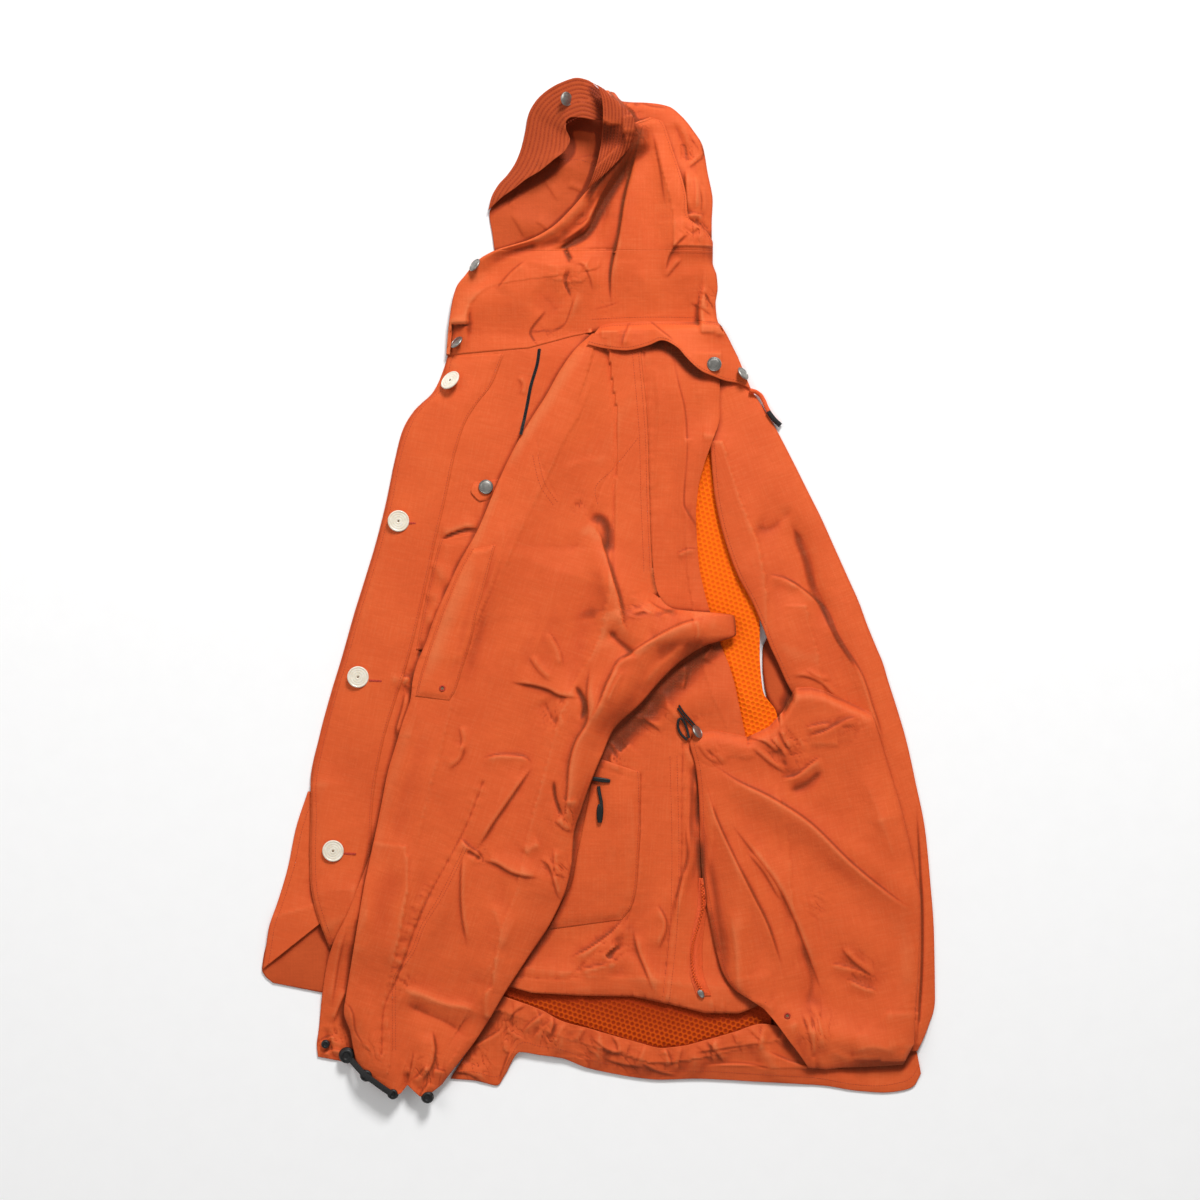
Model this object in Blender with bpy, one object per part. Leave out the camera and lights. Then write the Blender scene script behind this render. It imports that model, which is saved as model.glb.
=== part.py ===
"""Hooded jacket of light nylon, laid on its side on a flat surface, seen from above.

Run with: blender --background --python part.py

Every piece of cloth is a wall that lies on the pile of pieces below it. A piece is cut by a
short table of sections on a plan sheet (across to the right, down towards the hem, in mm), and
its height comes from a map of the pile, raised by its own slack, edges and folds.
"""

import math

import bmesh
import bpy
import numpy as np
from mathutils import Matrix, Vector

# ---------------------------------------------------------------- driving dimensions, mm
MM = 0.001
SHEET = 1200.0                     # the plan sheet is this wide and deep
MIDDLE = (598.6, 586.6)            # the jacket's middle on the sheet: the model's origin
CELL = 3.0                         # spacing of the height map
CLOTH = 1.2                        # one wall of shell cloth
MESH_CLOTH = 1.0                   # the net lining
TRIM = 1.0                         # pockets, placket, tapes
REST_GAP = 0.6                     # air between a piece and what it lies on
WIDE_REACH = 20.0                  # how far round it a large piece keeps above the pile
TRIM_REACH = 14.0                  # the same for a narrow trim
SLOPE = 9.0                        # softness of the pile's slopes
SLEEVE_EDGE = 3.8                  # height of the folded sleeve at its two edges
SLEEVE_PUFF = 9.0                  # how much higher its middle stands
SLEEVE_ROUND = 0.7                 # how full its cross-section is: 1 a parabola, less is fuller
MOUND = 9.0                        # height of the hidden layers, folded under the front
DOME = (4, 6)                      # how squarely they fall off, across and along
FOLD_ENDS = (0.12, 0.76)           # start and span of the half wave that fades a fold at its ends
FILL = 7                           # straight steps between lattice points, to fill the height map
BUTTON = 21.6                      # 34 line
BUTTON_THICK = 3.6
SNAP = 14.5
SNAP_THICK = 3.2
CUFF_CORD = 6.0
PULL_CORD = 3.4
CORD_STEP = 1.6                    # distance between a cord's points, in cord thicknesses
CORD_GAP = 0.5                     # air under a cord
END_GAP = 0.4                      # air under its turned ends and under zip heads

# colours: linear RGB
SHELL = (0.745, 0.114, 0.034)
NET = (0.93, 0.17, 0.004)
TAPE = (0.88, 0.08, 0.02)
HORN = (0.80, 0.74, 0.61)
STEEL = (0.32, 0.30, 0.28)
BLACK = (0.012, 0.012, 0.012)


# ---------------------------------------------------------------- the plan and its height map
SIDE = int(SHEET / CELL) + 1


def read_map(field, across, down):
    """The map's value at plan points, by linear mixing of the four nearest cells."""
    i = np.clip(down / CELL, 0, SIDE - 1.001)
    j = np.clip(across / CELL, 0, SIDE - 1.001)
    i0, j0 = i.astype(int), j.astype(int)
    fi, fj = i - i0, j - j0
    upper = field[i0, j0] * (1 - fj) + field[i0, j0 + 1] * fj
    lower = field[i0 + 1, j0] * (1 - fj) + field[i0 + 1, j0 + 1] * fj
    return upper * (1 - fi) + lower * fi


def spread(field, reach):
    """The greatest value within reach of each cell, in a square, one axis at a time."""
    steps = max(1, math.ceil(reach / CELL))
    for axis in (0, 1):
        best = field.copy()
        for k in range(1, steps + 1):
            for turn in (k, -k):
                best = np.maximum(best, np.roll(field, turn, axis))
        field = best
    return field


def soften(field, reach):
    """The mean within reach of each cell, one axis at a time."""
    steps = max(1, round(reach / CELL))
    for axis in (0, 1):
        total = field.copy()
        for k in range(1, steps + 1):
            total += np.roll(field, k, axis) + np.roll(field, -k, axis)
        field = total / (2 * steps + 1)
    return field


class Pile:
    """The height of what is already laid down, cell by cell."""

    def __init__(self):
        self.top = np.zeros((SIDE, SIDE))

    def rest(self, reach):
        """Where cloth of this spacing can lie: above all within reach, with soft slopes."""
        least = spread(self.top, reach)
        least = np.where(least > 0, least + REST_GAP, 0.0)
        soft = least
        for _ in range(6):
            soft = np.maximum(soften(soft, SLOPE), least)
        return np.where(soft > 0.25, soft, 0.0)

    def lay(self, across, down, height):
        """Adds a lattice of points, filled in between them."""
        a, d, h = (refine(refine(v, FILL).T, FILL).T for v in (across, down, height))
        i = np.clip(np.rint(d / CELL), 0, SIDE - 1).astype(int)
        j = np.clip(np.rint(a / CELL), 0, SIDE - 1).astype(int)
        layer = np.zeros_like(self.top)
        np.maximum.at(layer, (i, j), h)
        self.top = np.maximum(self.top, spread(layer, CELL))


def refine(rows, parts):
    """The same lattice with `parts` straight steps between neighbouring rows."""
    count = (len(rows) - 1) * parts + 1
    place = np.linspace(0, len(rows) - 1, count)
    low = np.minimum(place.astype(int), len(rows) - 2)
    mix = (place - low)[:, None]
    return rows[low] * (1 - mix) + rows[low + 1] * mix


def smooth_through(values, places):
    """Cubic curve through evenly numbered values, that never swings past them."""
    values = np.asarray(values, float)
    step = np.diff(values, axis=0)
    before = np.vstack([step[:1], step])
    after = np.vstack([step, step[-1:]])
    same = (before * after) > 0
    slope = np.where(same, 2 * before * after / np.where(same, before + after, 1), 0)
    low = np.clip(np.floor(places).astype(int), 0, len(values) - 2)
    t = (places - low)[:, None]
    p0, p1, m0, m1 = values[low], values[low + 1], slope[low], slope[low + 1]
    return (
        (2 * t**3 - 3 * t**2 + 1) * p0
        + (t**3 - 2 * t**2 + t) * m0
        + (3 * t**2 - 2 * t**3) * p1
        + (t**3 - t**2) * m1
    )


def lattice(sections, rows, columns, head=None, foot=None):
    """Plan points of a piece: rows along it, columns from its left edge to its right.

    sections: (left across, left down, right across, right down), one row for each section.
    head, foot: (share of the width, how far the first or last edge lies below a straight line).
    """
    places = np.linspace(0, len(sections) - 1, rows + 1)
    edges = smooth_through([s[:4] for s in sections], places)
    share = np.linspace(0, 1, columns + 1)
    across = edges[:, :1] * (1 - share) + edges[:, 2:3] * share
    down = edges[:, 1:2] * (1 - share) + edges[:, 3:4] * share
    run = np.linspace(0, 1, rows + 1)[:, None]
    for table, weight in ((head, np.clip(1 - run * 3, 0, 1)), (foot, np.clip(run * 3 - 2, 0, 1))):
        if table:
            share_at, drop = zip(*table)
            down = down + np.interp(share, share_at, drop) * weight
    return across, down, np.broadcast_to(share, across.shape)


def relief(folds, across, down):
    """Height of the folds at plan points: each is a bump along a bent line, fading at its ends.

    folds: (start across, start down, bend across, bend down, end across, end down, width, height).
    """
    total = np.zeros_like(across)
    for a0, d0, a1, d1, a2, d2, width, height in folds:
        t = np.linspace(0, 1, 13)
        line_a = (1 - t) ** 2 * a0 + 2 * t * (1 - t) * a1 + t**2 * a2
        line_d = (1 - t) ** 2 * d0 + 2 * t * (1 - t) * d1 + t**2 * d2
        gap = np.hypot(across[..., None] - line_a, down[..., None] - line_d)
        nearest = gap.argmin(-1)
        fade = np.sin(np.pi * (FOLD_ENDS[0] + FOLD_ENDS[1] * t[nearest]))
        total += height * fade * np.exp(-((gap.min(-1) / (0.5 * width)) ** 2))
    return total


# ---------------------------------------------------------------- Blender helpers
def clear_scene():
    for thing in list(bpy.data.objects):
        bpy.data.objects.remove(thing, do_unlink=True)


MATERIALS = {}


def material(name, colour, roughness, metallic=0.0):
    """One Principled material for each finish, made once."""
    if name not in MATERIALS:
        made = bpy.data.materials.new(name)
        made.use_nodes = True
        shader = made.node_tree.nodes["Principled BSDF"]
        shader.inputs["Base Color"].default_value = (*colour, 1.0)
        shader.inputs["Roughness"].default_value = roughness
        shader.inputs["Metallic"].default_value = metallic
        MATERIALS[name] = made
    return MATERIALS[name]


def to_world(across, down, height):
    """Plan and height in mm, to metres about the jacket's middle."""
    return np.stack([across - MIDDLE[0], MIDDLE[1] - down, height], -1) * MM


def add_mesh(name, points, faces, finish, smooth=40.0):
    """An object of these points and faces, with its faces turned outwards."""
    mesh = bpy.data.meshes.new(name)
    mesh.from_pydata([tuple(p) for p in points], [], faces)
    shape = bmesh.new()
    shape.from_mesh(mesh)
    bmesh.ops.recalc_face_normals(shape, faces=shape.faces)
    shape.to_mesh(mesh)
    shape.free()
    mesh.shade_smooth()
    mesh.set_sharp_from_angle(angle=math.radians(smooth))
    thing = bpy.data.objects.new(name, mesh)
    bpy.context.collection.objects.link(thing)
    mesh.materials.append(finish)
    return thing


def wall_faces(rows, columns):
    """Faces of a closed wall: an upper lattice, then the lower one with the same numbering."""
    count = (rows + 1) * (columns + 1)

    def at(i, j, lower):
        return i * (columns + 1) + j + (count if lower else 0)

    faces = []
    for i in range(rows):
        for j in range(columns):
            for lower in (False, True):
                faces.append(
                    (at(i, j, lower), at(i + 1, j, lower), at(i + 1, j + 1, lower), at(i, j + 1, lower))
                )
    rim = [(0, j) for j in range(columns)] + [(i, columns) for i in range(rows)]
    rim += [(rows, j) for j in range(columns, 0, -1)] + [(i, 0) for i in range(rows, 0, -1)]
    for here, there in zip(rim, rim[1:] + rim[:1]):
        faces.append((at(*here, False), at(*there, False), at(*there, True), at(*here, True)))
    return faces


# ---------------------------------------------------------------- pieces of cloth
def inside(rows, columns):
    """0 along a lattice's rim, 1 inside it."""
    ease = np.zeros((rows + 1, columns + 1))
    ease[1:-1, 1:-1] = 1.0
    return ease


def cut_panel(
    pile, name, sections, finish, rows, columns, slack=0.0, folds=(), lifts=None, wall=CLOTH,
    head=None, foot=None, reach=WIDE_REACH,
):
    """A piece of cloth laid on the pile.

    slack: air under its inside. lifts: (left, right) height of its edges above the pile, one row
    for each section. folds: see relief().
    """
    across, down, share = lattice(sections, rows, columns, head, foot)
    under = read_map(pile.rest(reach), across, down)
    raised = slack * inside(rows, columns) + relief(folds, across, down)
    if lifts:
        edge = smooth_through(lifts, np.linspace(0, len(lifts) - 1, rows + 1))
        raised = raised + edge[:, :1] * (1 - share) + edge[:, 1:] * share
    lower = under + np.maximum(raised, 0.0)
    upper = lower + wall
    points = np.concatenate(
        [to_world(across, down, upper).reshape(-1, 3), to_world(across, down, lower).reshape(-1, 3)]
    )
    pile.lay(across, down, upper)
    return add_mesh(name, points, wall_faces(rows, columns), finish)


def lay_hidden_layers(pile, name, sections, finish, rows, columns):
    """The folded layers that nothing shows: one rounded solid, flat underneath."""
    across, down, share = lattice(sections, rows, columns)
    run = np.linspace(0, 1, rows + 1)[:, None]
    dome = (1 - (2 * share - 1) ** DOME[0]) * (1 - (2 * run - 1) ** DOME[1])
    upper = CLOTH + (MOUND - CLOTH) * dome
    points = np.concatenate(
        [
            to_world(across, down, upper).reshape(-1, 3),
            to_world(across, down, np.zeros_like(upper)).reshape(-1, 3),
        ]
    )
    pile.lay(across, down, upper)
    return add_mesh(name, points, wall_faces(rows, columns), finish)


def fold_sleeve(pile, name, sections, finish, rows, columns, folds, foot):
    """A flattened tube of cloth, open at both ends: an outer ring and an inner ring each section."""
    rest = pile.rest(WIDE_REACH)
    rings = []
    for inset in (0.0, CLOTH):
        across, down, share = lattice(sections, rows, columns, None, foot)
        width = np.hypot(across[:, -1] - across[:, 0], down[:, -1] - down[:, 0])[:, None]
        pull = inset * 1.3 / width
        inner = pull + share * (1 - 2 * pull)
        left_a, right_a = across[:, :1], across[:, -1:]
        across = left_a + (right_a - left_a) * inner
        down = np.stack([np.interp(inner[i], share[i], down[i]) for i in range(rows + 1)])
        base = read_map(rest, across, down)
        puff = SLEEVE_PUFF * np.clip(4 * inner * (1 - inner), 0, 1) ** SLEEVE_ROUND
        top = base + SLEEVE_EDGE + np.maximum(puff + relief(folds, across, down), 0.0)
        if not inset:
            pile.lay(across, down, top)
        upper = to_world(across, down, top - inset)
        lower = to_world(across, down, base + inset)
        rings.append(np.concatenate([upper, lower[:, ::-1]], 1))
    around = rings[0].shape[1]
    points = np.concatenate([ring.reshape(-1, 3) for ring in rings])
    start = (rows + 1) * around
    faces = []
    for i in range(rows):
        for k in range(around):
            after = (k + 1) % around
            square = (i * around + k, i * around + after, (i + 1) * around + after, (i + 1) * around + k)
            faces.append(square)
            faces.append(tuple(start + v for v in reversed(square)))
    for i in (0, rows):
        for k in range(around):
            after = (k + 1) % around
            ring = (i * around + k, i * around + after)
            faces.append((ring[0], ring[1], start + ring[1], start + ring[0]))
    return add_mesh(name, points, faces, finish)


# ---------------------------------------------------------------- hard pieces
def turned(name, profile, finish, place, sides=12, lean=0.0, towards=0.0):
    """A turned piece from (radius, height) pairs in mm, set at (across, down, height).

    lean: how many degrees its axis tips from upright. towards: the way it tips on the plan, in
    degrees, 0 to the right and 90 towards the hood.
    """
    points, faces = [], []
    for radius, height in profile:
        for k in range(sides):
            angle = 2 * math.pi * k / sides
            points.append(Vector((radius * math.cos(angle), radius * math.sin(angle), height)) * MM)
    for i in range(len(profile) - 1):
        for k in range(sides):
            after = (k + 1) % sides
            faces.append(
                (i * sides + k, i * sides + after, (i + 1) * sides + after, (i + 1) * sides + k)
            )
    faces.append(tuple(range(sides)))
    faces.append(tuple((len(profile) - 1) * sides + k for k in range(sides)))
    side = Vector((math.cos(math.radians(towards)), math.sin(math.radians(towards)), 0.0))
    tip = Matrix.Rotation(math.radians(lean), 4, side.cross(Vector((0, 0, 1))) * -1)
    thing = add_mesh(name, points, faces, finish, 30.0)
    across, down, height = place
    where = Vector(to_world(np.array(across), np.array(down), np.array(height)))
    thing.matrix_world = Matrix.Translation(where) @ tip
    return thing


def rest_height(pile, across, down, radius):
    """The highest point of the pile under a round piece."""
    angle = np.linspace(0, 2 * np.pi, 17)
    ring = [(across, down)]
    for share in (0.5, 1.0):
        ring += [
            (across + radius * share * math.cos(v), down + radius * share * math.sin(v)) for v in angle
        ]
    spots = np.array(ring)
    return float(read_map(pile.top, spots[:, 0], spots[:, 1]).max())


def cord(name, route, thickness, finish, sides=2):
    """A round cord along a smooth curve through the route's points (across, down, height)."""
    length = np.hypot(*np.diff(route[:, :2], axis=0).T).sum()
    count = max(6, math.ceil(length / (CORD_STEP * thickness)))
    spots = smooth_through(route, np.linspace(0, len(route) - 1, count + 1))
    curve = bpy.data.curves.new(name, "CURVE")
    curve.dimensions = "3D"
    curve.bevel_depth = 0.5 * thickness * MM
    curve.bevel_resolution = sides
    curve.use_fill_caps = True
    line = curve.splines.new("POLY")
    line.points.add(len(spots) - 1)
    world = to_world(spots[:, 0], spots[:, 1], spots[:, 2])
    for point, (x, y, z) in zip(line.points, world):
        point.co = (x, y, z, 1.0)
    thing = bpy.data.objects.new(name, curve)
    bpy.context.collection.objects.link(thing)
    curve.materials.append(finish)
    return thing


def lay_cord(pile, name, route, thickness, finish):
    """A cord along route points (across, down), lying on whatever is below each of them."""
    least = spread(pile.top, thickness + 1.5 * CELL)
    spots = np.array(route, float)
    under = read_map(least, spots[:, 0], spots[:, 1])
    height = under + 0.5 * thickness + CORD_GAP
    return cord(name, np.column_stack([spots, height]), thickness, finish)


def block(name, place, size, turn, finish):
    """A small bevelled block (length, width, height), turned on the plan by some degrees."""
    shape = bmesh.new()
    bmesh.ops.create_cube(shape, size=1.0)
    bmesh.ops.scale(shape, vec=Vector(size) * MM, verts=shape.verts)
    bmesh.ops.translate(shape, vec=Vector((0, 0, 0.5 * size[2] * MM)), verts=shape.verts)
    mesh = bpy.data.meshes.new(name)
    shape.to_mesh(mesh)
    shape.free()
    thing = bpy.data.objects.new(name, mesh)
    bpy.context.collection.objects.link(thing)
    mesh.materials.append(finish)
    bevel = thing.modifiers.new("rounded edges", "BEVEL")
    bevel.width = 0.22 * min(size) * MM
    bevel.segments = 2
    across, down, height = place
    thing.location = Vector(to_world(np.array(across), np.array(down), np.array(height)))
    thing.rotation_euler = (0.0, 0.0, math.radians(turn))
    return thing


def ball_profile(radius, height, flat=0.25):
    """A turned ball or barrel: (radius, height) pairs from its flat foot to its flat top."""
    profile = []
    for share in np.linspace(0.0, 1.0, 6):
        bulge = math.sin(math.pi * (0.12 + 0.76 * share))
        profile.append((radius * max(bulge, flat), height * share))
    return profile


# ---------------------------------------------------------------- tables of the pieces
# Each section: left across, left down, right across, right down.
RIGHT_FACING = [
    (272, 925, 345, 905), (263, 955, 350, 930), (261, 970, 352, 952), (264, 977, 355, 972),
    (272, 984, 358, 1001),
]
RIGHT_FRONT = [
    (307, 792, 350, 792), (295, 829, 350, 820), (287, 868, 351, 848), (277, 902, 351, 872),
    (268, 929, 350, 890), (265, 950, 342, 902), (262, 970, 322, 922),
]
RIGHT_BACK = [
    (688, 440, 720, 442), (688, 480, 728, 482), (688, 520, 738, 522), (688, 560, 752, 562),
    (692, 600, 759, 602), (697, 650, 759, 652), (701, 690, 760, 690), (704, 740, 762, 740),
    (700, 800, 770, 800), (690, 860, 780, 860), (650, 925, 785, 925), (520, 985, 790, 980),
    (506, 1010, 795, 1010), (512, 1045, 800, 1048), (560, 1052, 800, 1062),
]
RIGHT_BACK_EDGE = [
    (773, 612, 800, 612), (768, 636, 804, 636), (763, 650, 808, 650), (763, 665, 812, 665),
    (765, 686, 815, 686), (770, 705, 818, 705), (780, 730, 822, 730),
]
RIGHT_HOOD = [
    (563, 120, 604, 112), (556, 135, 606, 130), (548, 150, 606, 150), (530, 170, 604, 172),
    (510, 186, 602, 195), (493, 202, 598, 216), (489, 214, 594, 236), (492, 233, 588, 256),
    (495, 252, 582, 268), (502, 262, 576, 276),
]
HIDDEN_LAYERS = [
    (614, 140, 676, 135), (613, 175, 690, 172), (610, 210, 702, 205), (604, 240, 704, 238),
    (598, 268, 706, 266), (486, 288, 706, 286), (466, 310, 702, 312), (462, 345, 705, 340),
    (458, 380, 705, 375), (432, 415, 692, 415), (414, 455, 683, 455), (402, 500, 681, 500),
    (390, 550, 681, 550), (374, 610, 684, 610), (360, 660, 690, 660), (352, 710, 692, 710),
    (350, 760, 690, 760), (358, 800, 684, 800), (360, 850, 668, 850), (364, 900, 640, 900),
    (372, 945, 560, 945), (385, 978, 490, 978),
]
NET_VENT = [
    (692, 446, 716, 448), (692, 500, 732, 502), (694, 560, 754, 562), (702, 612, 760, 614),
    (708, 650, 760, 652), (718, 688, 763, 690), (730, 712, 777, 714), (738, 742, 780, 742),
]
# The net above the hem runs from left to right: top edge, then bottom edge.
NET_HEM = [
    (499, 970, 498, 1002), (529, 975, 527, 1012), (560, 978, 558, 1027), (591, 982, 590, 1037),
    (618, 984, 618, 1045), (640, 985, 640, 1051), (661, 988, 661, 1056), (690, 990, 690, 1052),
    (715, 992, 715, 1047), (740, 992, 740, 1041), (770, 988, 772, 1034),
]
HEM_BAND = [
    (474, 1042, 450, 1080), (486, 1014, 474, 1082), (497, 994, 496, 1087), (508, 998, 505, 1076),
    (520, 1002, 520, 1053), (541, 1010, 540, 1056), (562, 1021, 561, 1059), (591, 1029, 587, 1069),
    (618, 1037, 614, 1075), (640, 1043, 638, 1079), (661, 1048, 661, 1081), (682, 1046, 694, 1080),
    (706, 1040, 724, 1081), (734, 1032, 756, 1083), (762, 1024, 794, 1085), (790, 1030, 824, 1087),
    (815, 1040, 856, 1092), (845, 1046, 884, 1094), (875, 1044, 903, 1092), (895, 1034, 914, 1088),
    (904, 1020, 920, 1077),
]
LEFT_FRONT = [
    (452, 325, 598, 335), (448, 352, 592, 352), (442, 372, 585, 378), (433, 391, 577, 400),
    (413, 411, 566, 420), (402, 430, 556, 438), (394, 461, 545, 462), (386, 500, 526, 500),
    (376, 540, 508, 540), (364, 580, 490, 580), (354, 612, 476, 612), (341, 658, 456, 660),
    (330, 694, 446, 698), (319, 735, 436, 738), (310, 780, 424, 780), (310, 815, 416, 815),
    (309, 850, 408, 850), (310, 882, 400, 882), (314, 905, 394, 905), (329, 949, 385, 949),
]
PLACKET = [
    (447, 356, 504, 354), (439, 386, 492, 384), (420, 404, 477, 404), (406, 424, 465, 424),
    (395, 458, 455, 456), (387, 500, 446, 498), (377, 540, 436, 540), (365, 580, 427, 582),
    (355, 612, 420, 614), (342, 658, 408, 662), (331, 694, 396, 700), (320, 735, 384, 740),
    (311, 780, 375, 784), (311, 815, 372, 815), (310, 850, 371, 850), (311, 882, 370, 882),
    (315, 905, 368, 905), (329, 947, 364, 943),
]
CHEST_POCKET = [
    (440, 540, 500, 528), (434, 562, 492, 560), (427, 592, 480, 592), (421, 622, 466, 622),
    (416, 650, 452, 650),
]
SNAP_TAB = [(473, 479, 499, 477), (471, 491, 497, 489), (475, 497, 491, 496), (480, 501, 485, 501)]
SIDE_BACK = [
    (604, 332, 714, 332), (610, 356, 718, 356), (614, 385, 720, 385), (618, 415, 720, 415),
    (618, 440, 712, 442), (618, 465, 704, 465), (616, 490, 698, 490), (616, 515, 696, 515),
    (616, 540, 697, 540), (616, 565, 699, 565), (616, 590, 704, 590), (612, 618, 712, 618),
    (606, 645, 721, 645), (596, 665, 729, 665), (584, 685, 735, 685), (574, 705, 739, 705),
    (566, 724, 743, 724), (560, 745, 746, 742), (552, 775, 736, 775), (544, 805, 735, 805),
    (536, 835, 736, 835), (530, 865, 739, 865), (524, 895, 744, 895), (512, 925, 750, 925),
    (504, 955, 757, 955), (500, 984, 766, 1000),
]
SIDE_HEM = [(0, 0), (0.12, 7), (0.3, 7), (0.5, 5), (0.65, 11), (0.77, 17), (0.9, 15), (0.96, 8), (1, 0)]
HAND_POCKET = [
    (596, 757, 640, 772), (590, 790, 641, 792), (584, 822, 641, 824), (577, 855, 639, 856),
    (571, 885, 637, 886), (560, 905, 632, 906), (547, 930, 622, 920),
]
RIGHT_CAPE = [
    (700, 362, 739, 362), (702, 380, 750, 386), (704, 398, 760, 402), (708, 422, 774, 424),
    (711, 455, 791, 456), (714, 490, 808, 490), (719, 518, 822, 518), (727, 547, 835, 547),
    (738, 576, 848, 576), (752, 602, 860, 603), (762, 625, 868, 625), (770, 646, 877, 647),
    (778, 663, 884, 664), (786, 681, 889, 681), (800, 706, 897, 706), (818, 740, 907, 740),
    (836, 785, 917, 785), (850, 830, 926, 830), (860, 880, 931, 880), (866, 935, 935, 935),
    (868, 1000, 936, 1000), (864, 1030, 929, 1028), (860, 1050, 918, 1052),
]
GAME_BAG = [
    (695, 733, 872, 713), (690, 744, 880, 738), (696, 768, 889, 768), (699, 800, 899, 800),
    (700, 835, 908, 835), (702, 875, 916, 872), (708, 912, 921, 905), (716, 950, 920, 945),
    (724, 975, 918, 985), (738, 992, 915, 1018), (763, 1001, 914, 1044),
]
GAME_BAG_TOP = [
    (0, 0), (0.12, 0), (0.3, 10), (0.42, 2), (0.5, -12), (0.57, -34), (0.65, -33), (0.73, -28),
    (0.86, -15), (1, 0),
]
GAME_BAG_FOOT = [
    (0, 0), (0.13, 14), (0.19, 28), (0.25, 44), (0.3, 54), (0.42, 51), (0.52, 45), (0.72, 35),
    (0.93, 24), (1, 0),
]
GAME_BAG_ZIP = [
    (698, 878, 704, 878), (699, 900, 707, 900), (695, 926, 705, 926), (691, 952, 701, 952),
    (691, 975, 701, 973), (698, 996, 710, 994),
]
SLEEVE = [
    (592, 334, 640, 336), (575, 350, 641, 352), (560, 371, 643, 374), (546, 396, 646, 400),
    (530, 421, 648, 430), (512, 453, 649, 462), (497, 485, 650, 495), (478, 530, 651, 533),
    (460, 562, 653, 566), (446, 592, 657, 590), (437, 612, 672, 608), (431, 628, 734, 616),
    (427, 640, 736, 634), (422, 652, 704, 646), (417, 664, 682, 660), (413, 681, 661, 680),
    (411, 698, 641, 703), (403, 722, 614, 729), (397, 742, 603, 753), (388, 772, 591, 782),
    (382, 802, 582, 808), (376, 832, 574, 834), (370, 860, 572, 862), (365, 884, 567, 886),
    (359, 920, 551, 922), (353, 955, 528, 957), (347, 990, 504, 994), (344, 1012, 490, 1018),
    (350, 1032, 476, 1040), (358, 1048, 461, 1060), (362, 1063, 450, 1074), (368, 1080, 442, 1085),
]
SLEEVE_HEM = [(0, 0), (0.2, 5), (0.38, 4), (0.55, 9), (0.7, 9), (0.82, 5), (1, 0)]
CUFF_FOLD = [
    (373, 848, 400, 852), (365, 869, 402, 876), (355, 895, 398, 902), (345, 919, 394, 926),
    (334, 941, 388, 948), (326, 967, 382, 972), (321, 1000, 378, 1000), (318, 1030, 382, 1030),
    (316, 1046, 384, 1050), (317, 1058, 380, 1070),
]
ARM_POCKET = [
    (472, 549, 496, 545), (461, 568, 490, 567), (452, 588, 484, 590), (443, 610, 477, 615),
    (435, 632, 472, 640), (427, 655, 464, 665), (420, 678, 456, 690), (416, 696, 450, 700),
]
COLLAR = [
    (503, 240, 713, 240), (494, 251, 713, 251), (478, 260, 713, 262), (465, 275, 717, 275),
    (456, 287, 718, 288), (451, 306, 716, 302), (450, 330, 716, 312), (448, 352, 717, 321),
]
NECK_SEAM = [(0, 0), (0.3, 0), (0.45, -8), (0.57, -12), (0.75, -8), (1, 0)]
HOOD_GUSSET = [
    (606, 116, 603, 93), (618, 124, 613, 93), (628, 130, 623, 101), (640, 127, 640, 101),
    (652, 126, 655, 102), (658, 132, 669, 105), (662, 143, 682, 115), (666, 156, 694, 130),
    (671, 172, 703, 145), (676, 190, 708, 172), (679, 205, 713, 200), (680, 220, 712, 222),
    (680, 240, 712, 240),
]
# A table that ends in LIFT: left and right height of the edges above the pile, one row a section.
BRIM_LOWER = [
    (488, 210, 492, 206), (491, 197, 502, 197), (498, 184, 514, 189), (507, 174, 526, 180),
    (515, 162, 540, 172), (521, 147, 553, 162), (525, 130, 566, 151), (528, 114, 570, 141),
    (535, 101, 566, 130), (547, 90, 566, 124), (561, 83, 572, 119), (576, 79, 584, 120),
    (588, 82, 595, 122), (600, 92, 607, 122),
]
BRIM_LOWER_LIFT = [
    (5, 5), (5, 3), (4, 1), (3, 0), (3, 0), (3, 0), (3, 0), (4, 0), (6, 2), (9, 5), (13, 9),
    (17, 11), (20, 12), (21, 12),
]
LEFT_HOOD = [
    (630, 128, 650, 117), (633, 133, 662, 121), (631, 145, 668, 135), (619, 160, 673, 151),
    (602, 176, 680, 172), (586, 193, 686, 196), (570, 211, 688, 217), (552, 228, 706, 231),
    (530, 240, 713, 243), (496, 250, 713, 253),
]
LEFT_HOOD_LIFT = [
    (6, 1), (8, 1), (11, 1), (13, 1), (14, 1), (14, 1), (13, 1), (10, 1), (6, 1), (2, 1),
]
BRIM_UPPER = [
    (592, 86, 604, 93), (598, 92, 612, 104), (602, 104, 620, 112), (603, 118, 630, 121),
    (602, 137, 634, 131), (599, 156, 630, 146), (595, 172, 617, 162), (590, 186, 601, 177),
    (585, 194, 590, 189),
]
BRIM_UPPER_LIFT = [(2, 1), (4, 1), (6, 2), (7, 2), (8, 3), (8, 4), (7, 4), (5, 4), (4, 4)]
# The yoke flap runs from left to right: top edge, then bottom edge.
YOKE_FLAP = [
    (600, 326, 587, 345), (612, 323, 604, 349), (630, 322, 625, 351), (644, 321, 648, 346),
    (656, 321, 662, 341), (668, 321, 677, 348), (680, 321, 686, 358), (691, 321, 694, 366),
    (701, 321, 702, 372), (710, 321, 714, 377), (718, 322, 726, 381), (725, 331, 738, 383),
    (738, 356, 751, 388),
]

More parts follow.
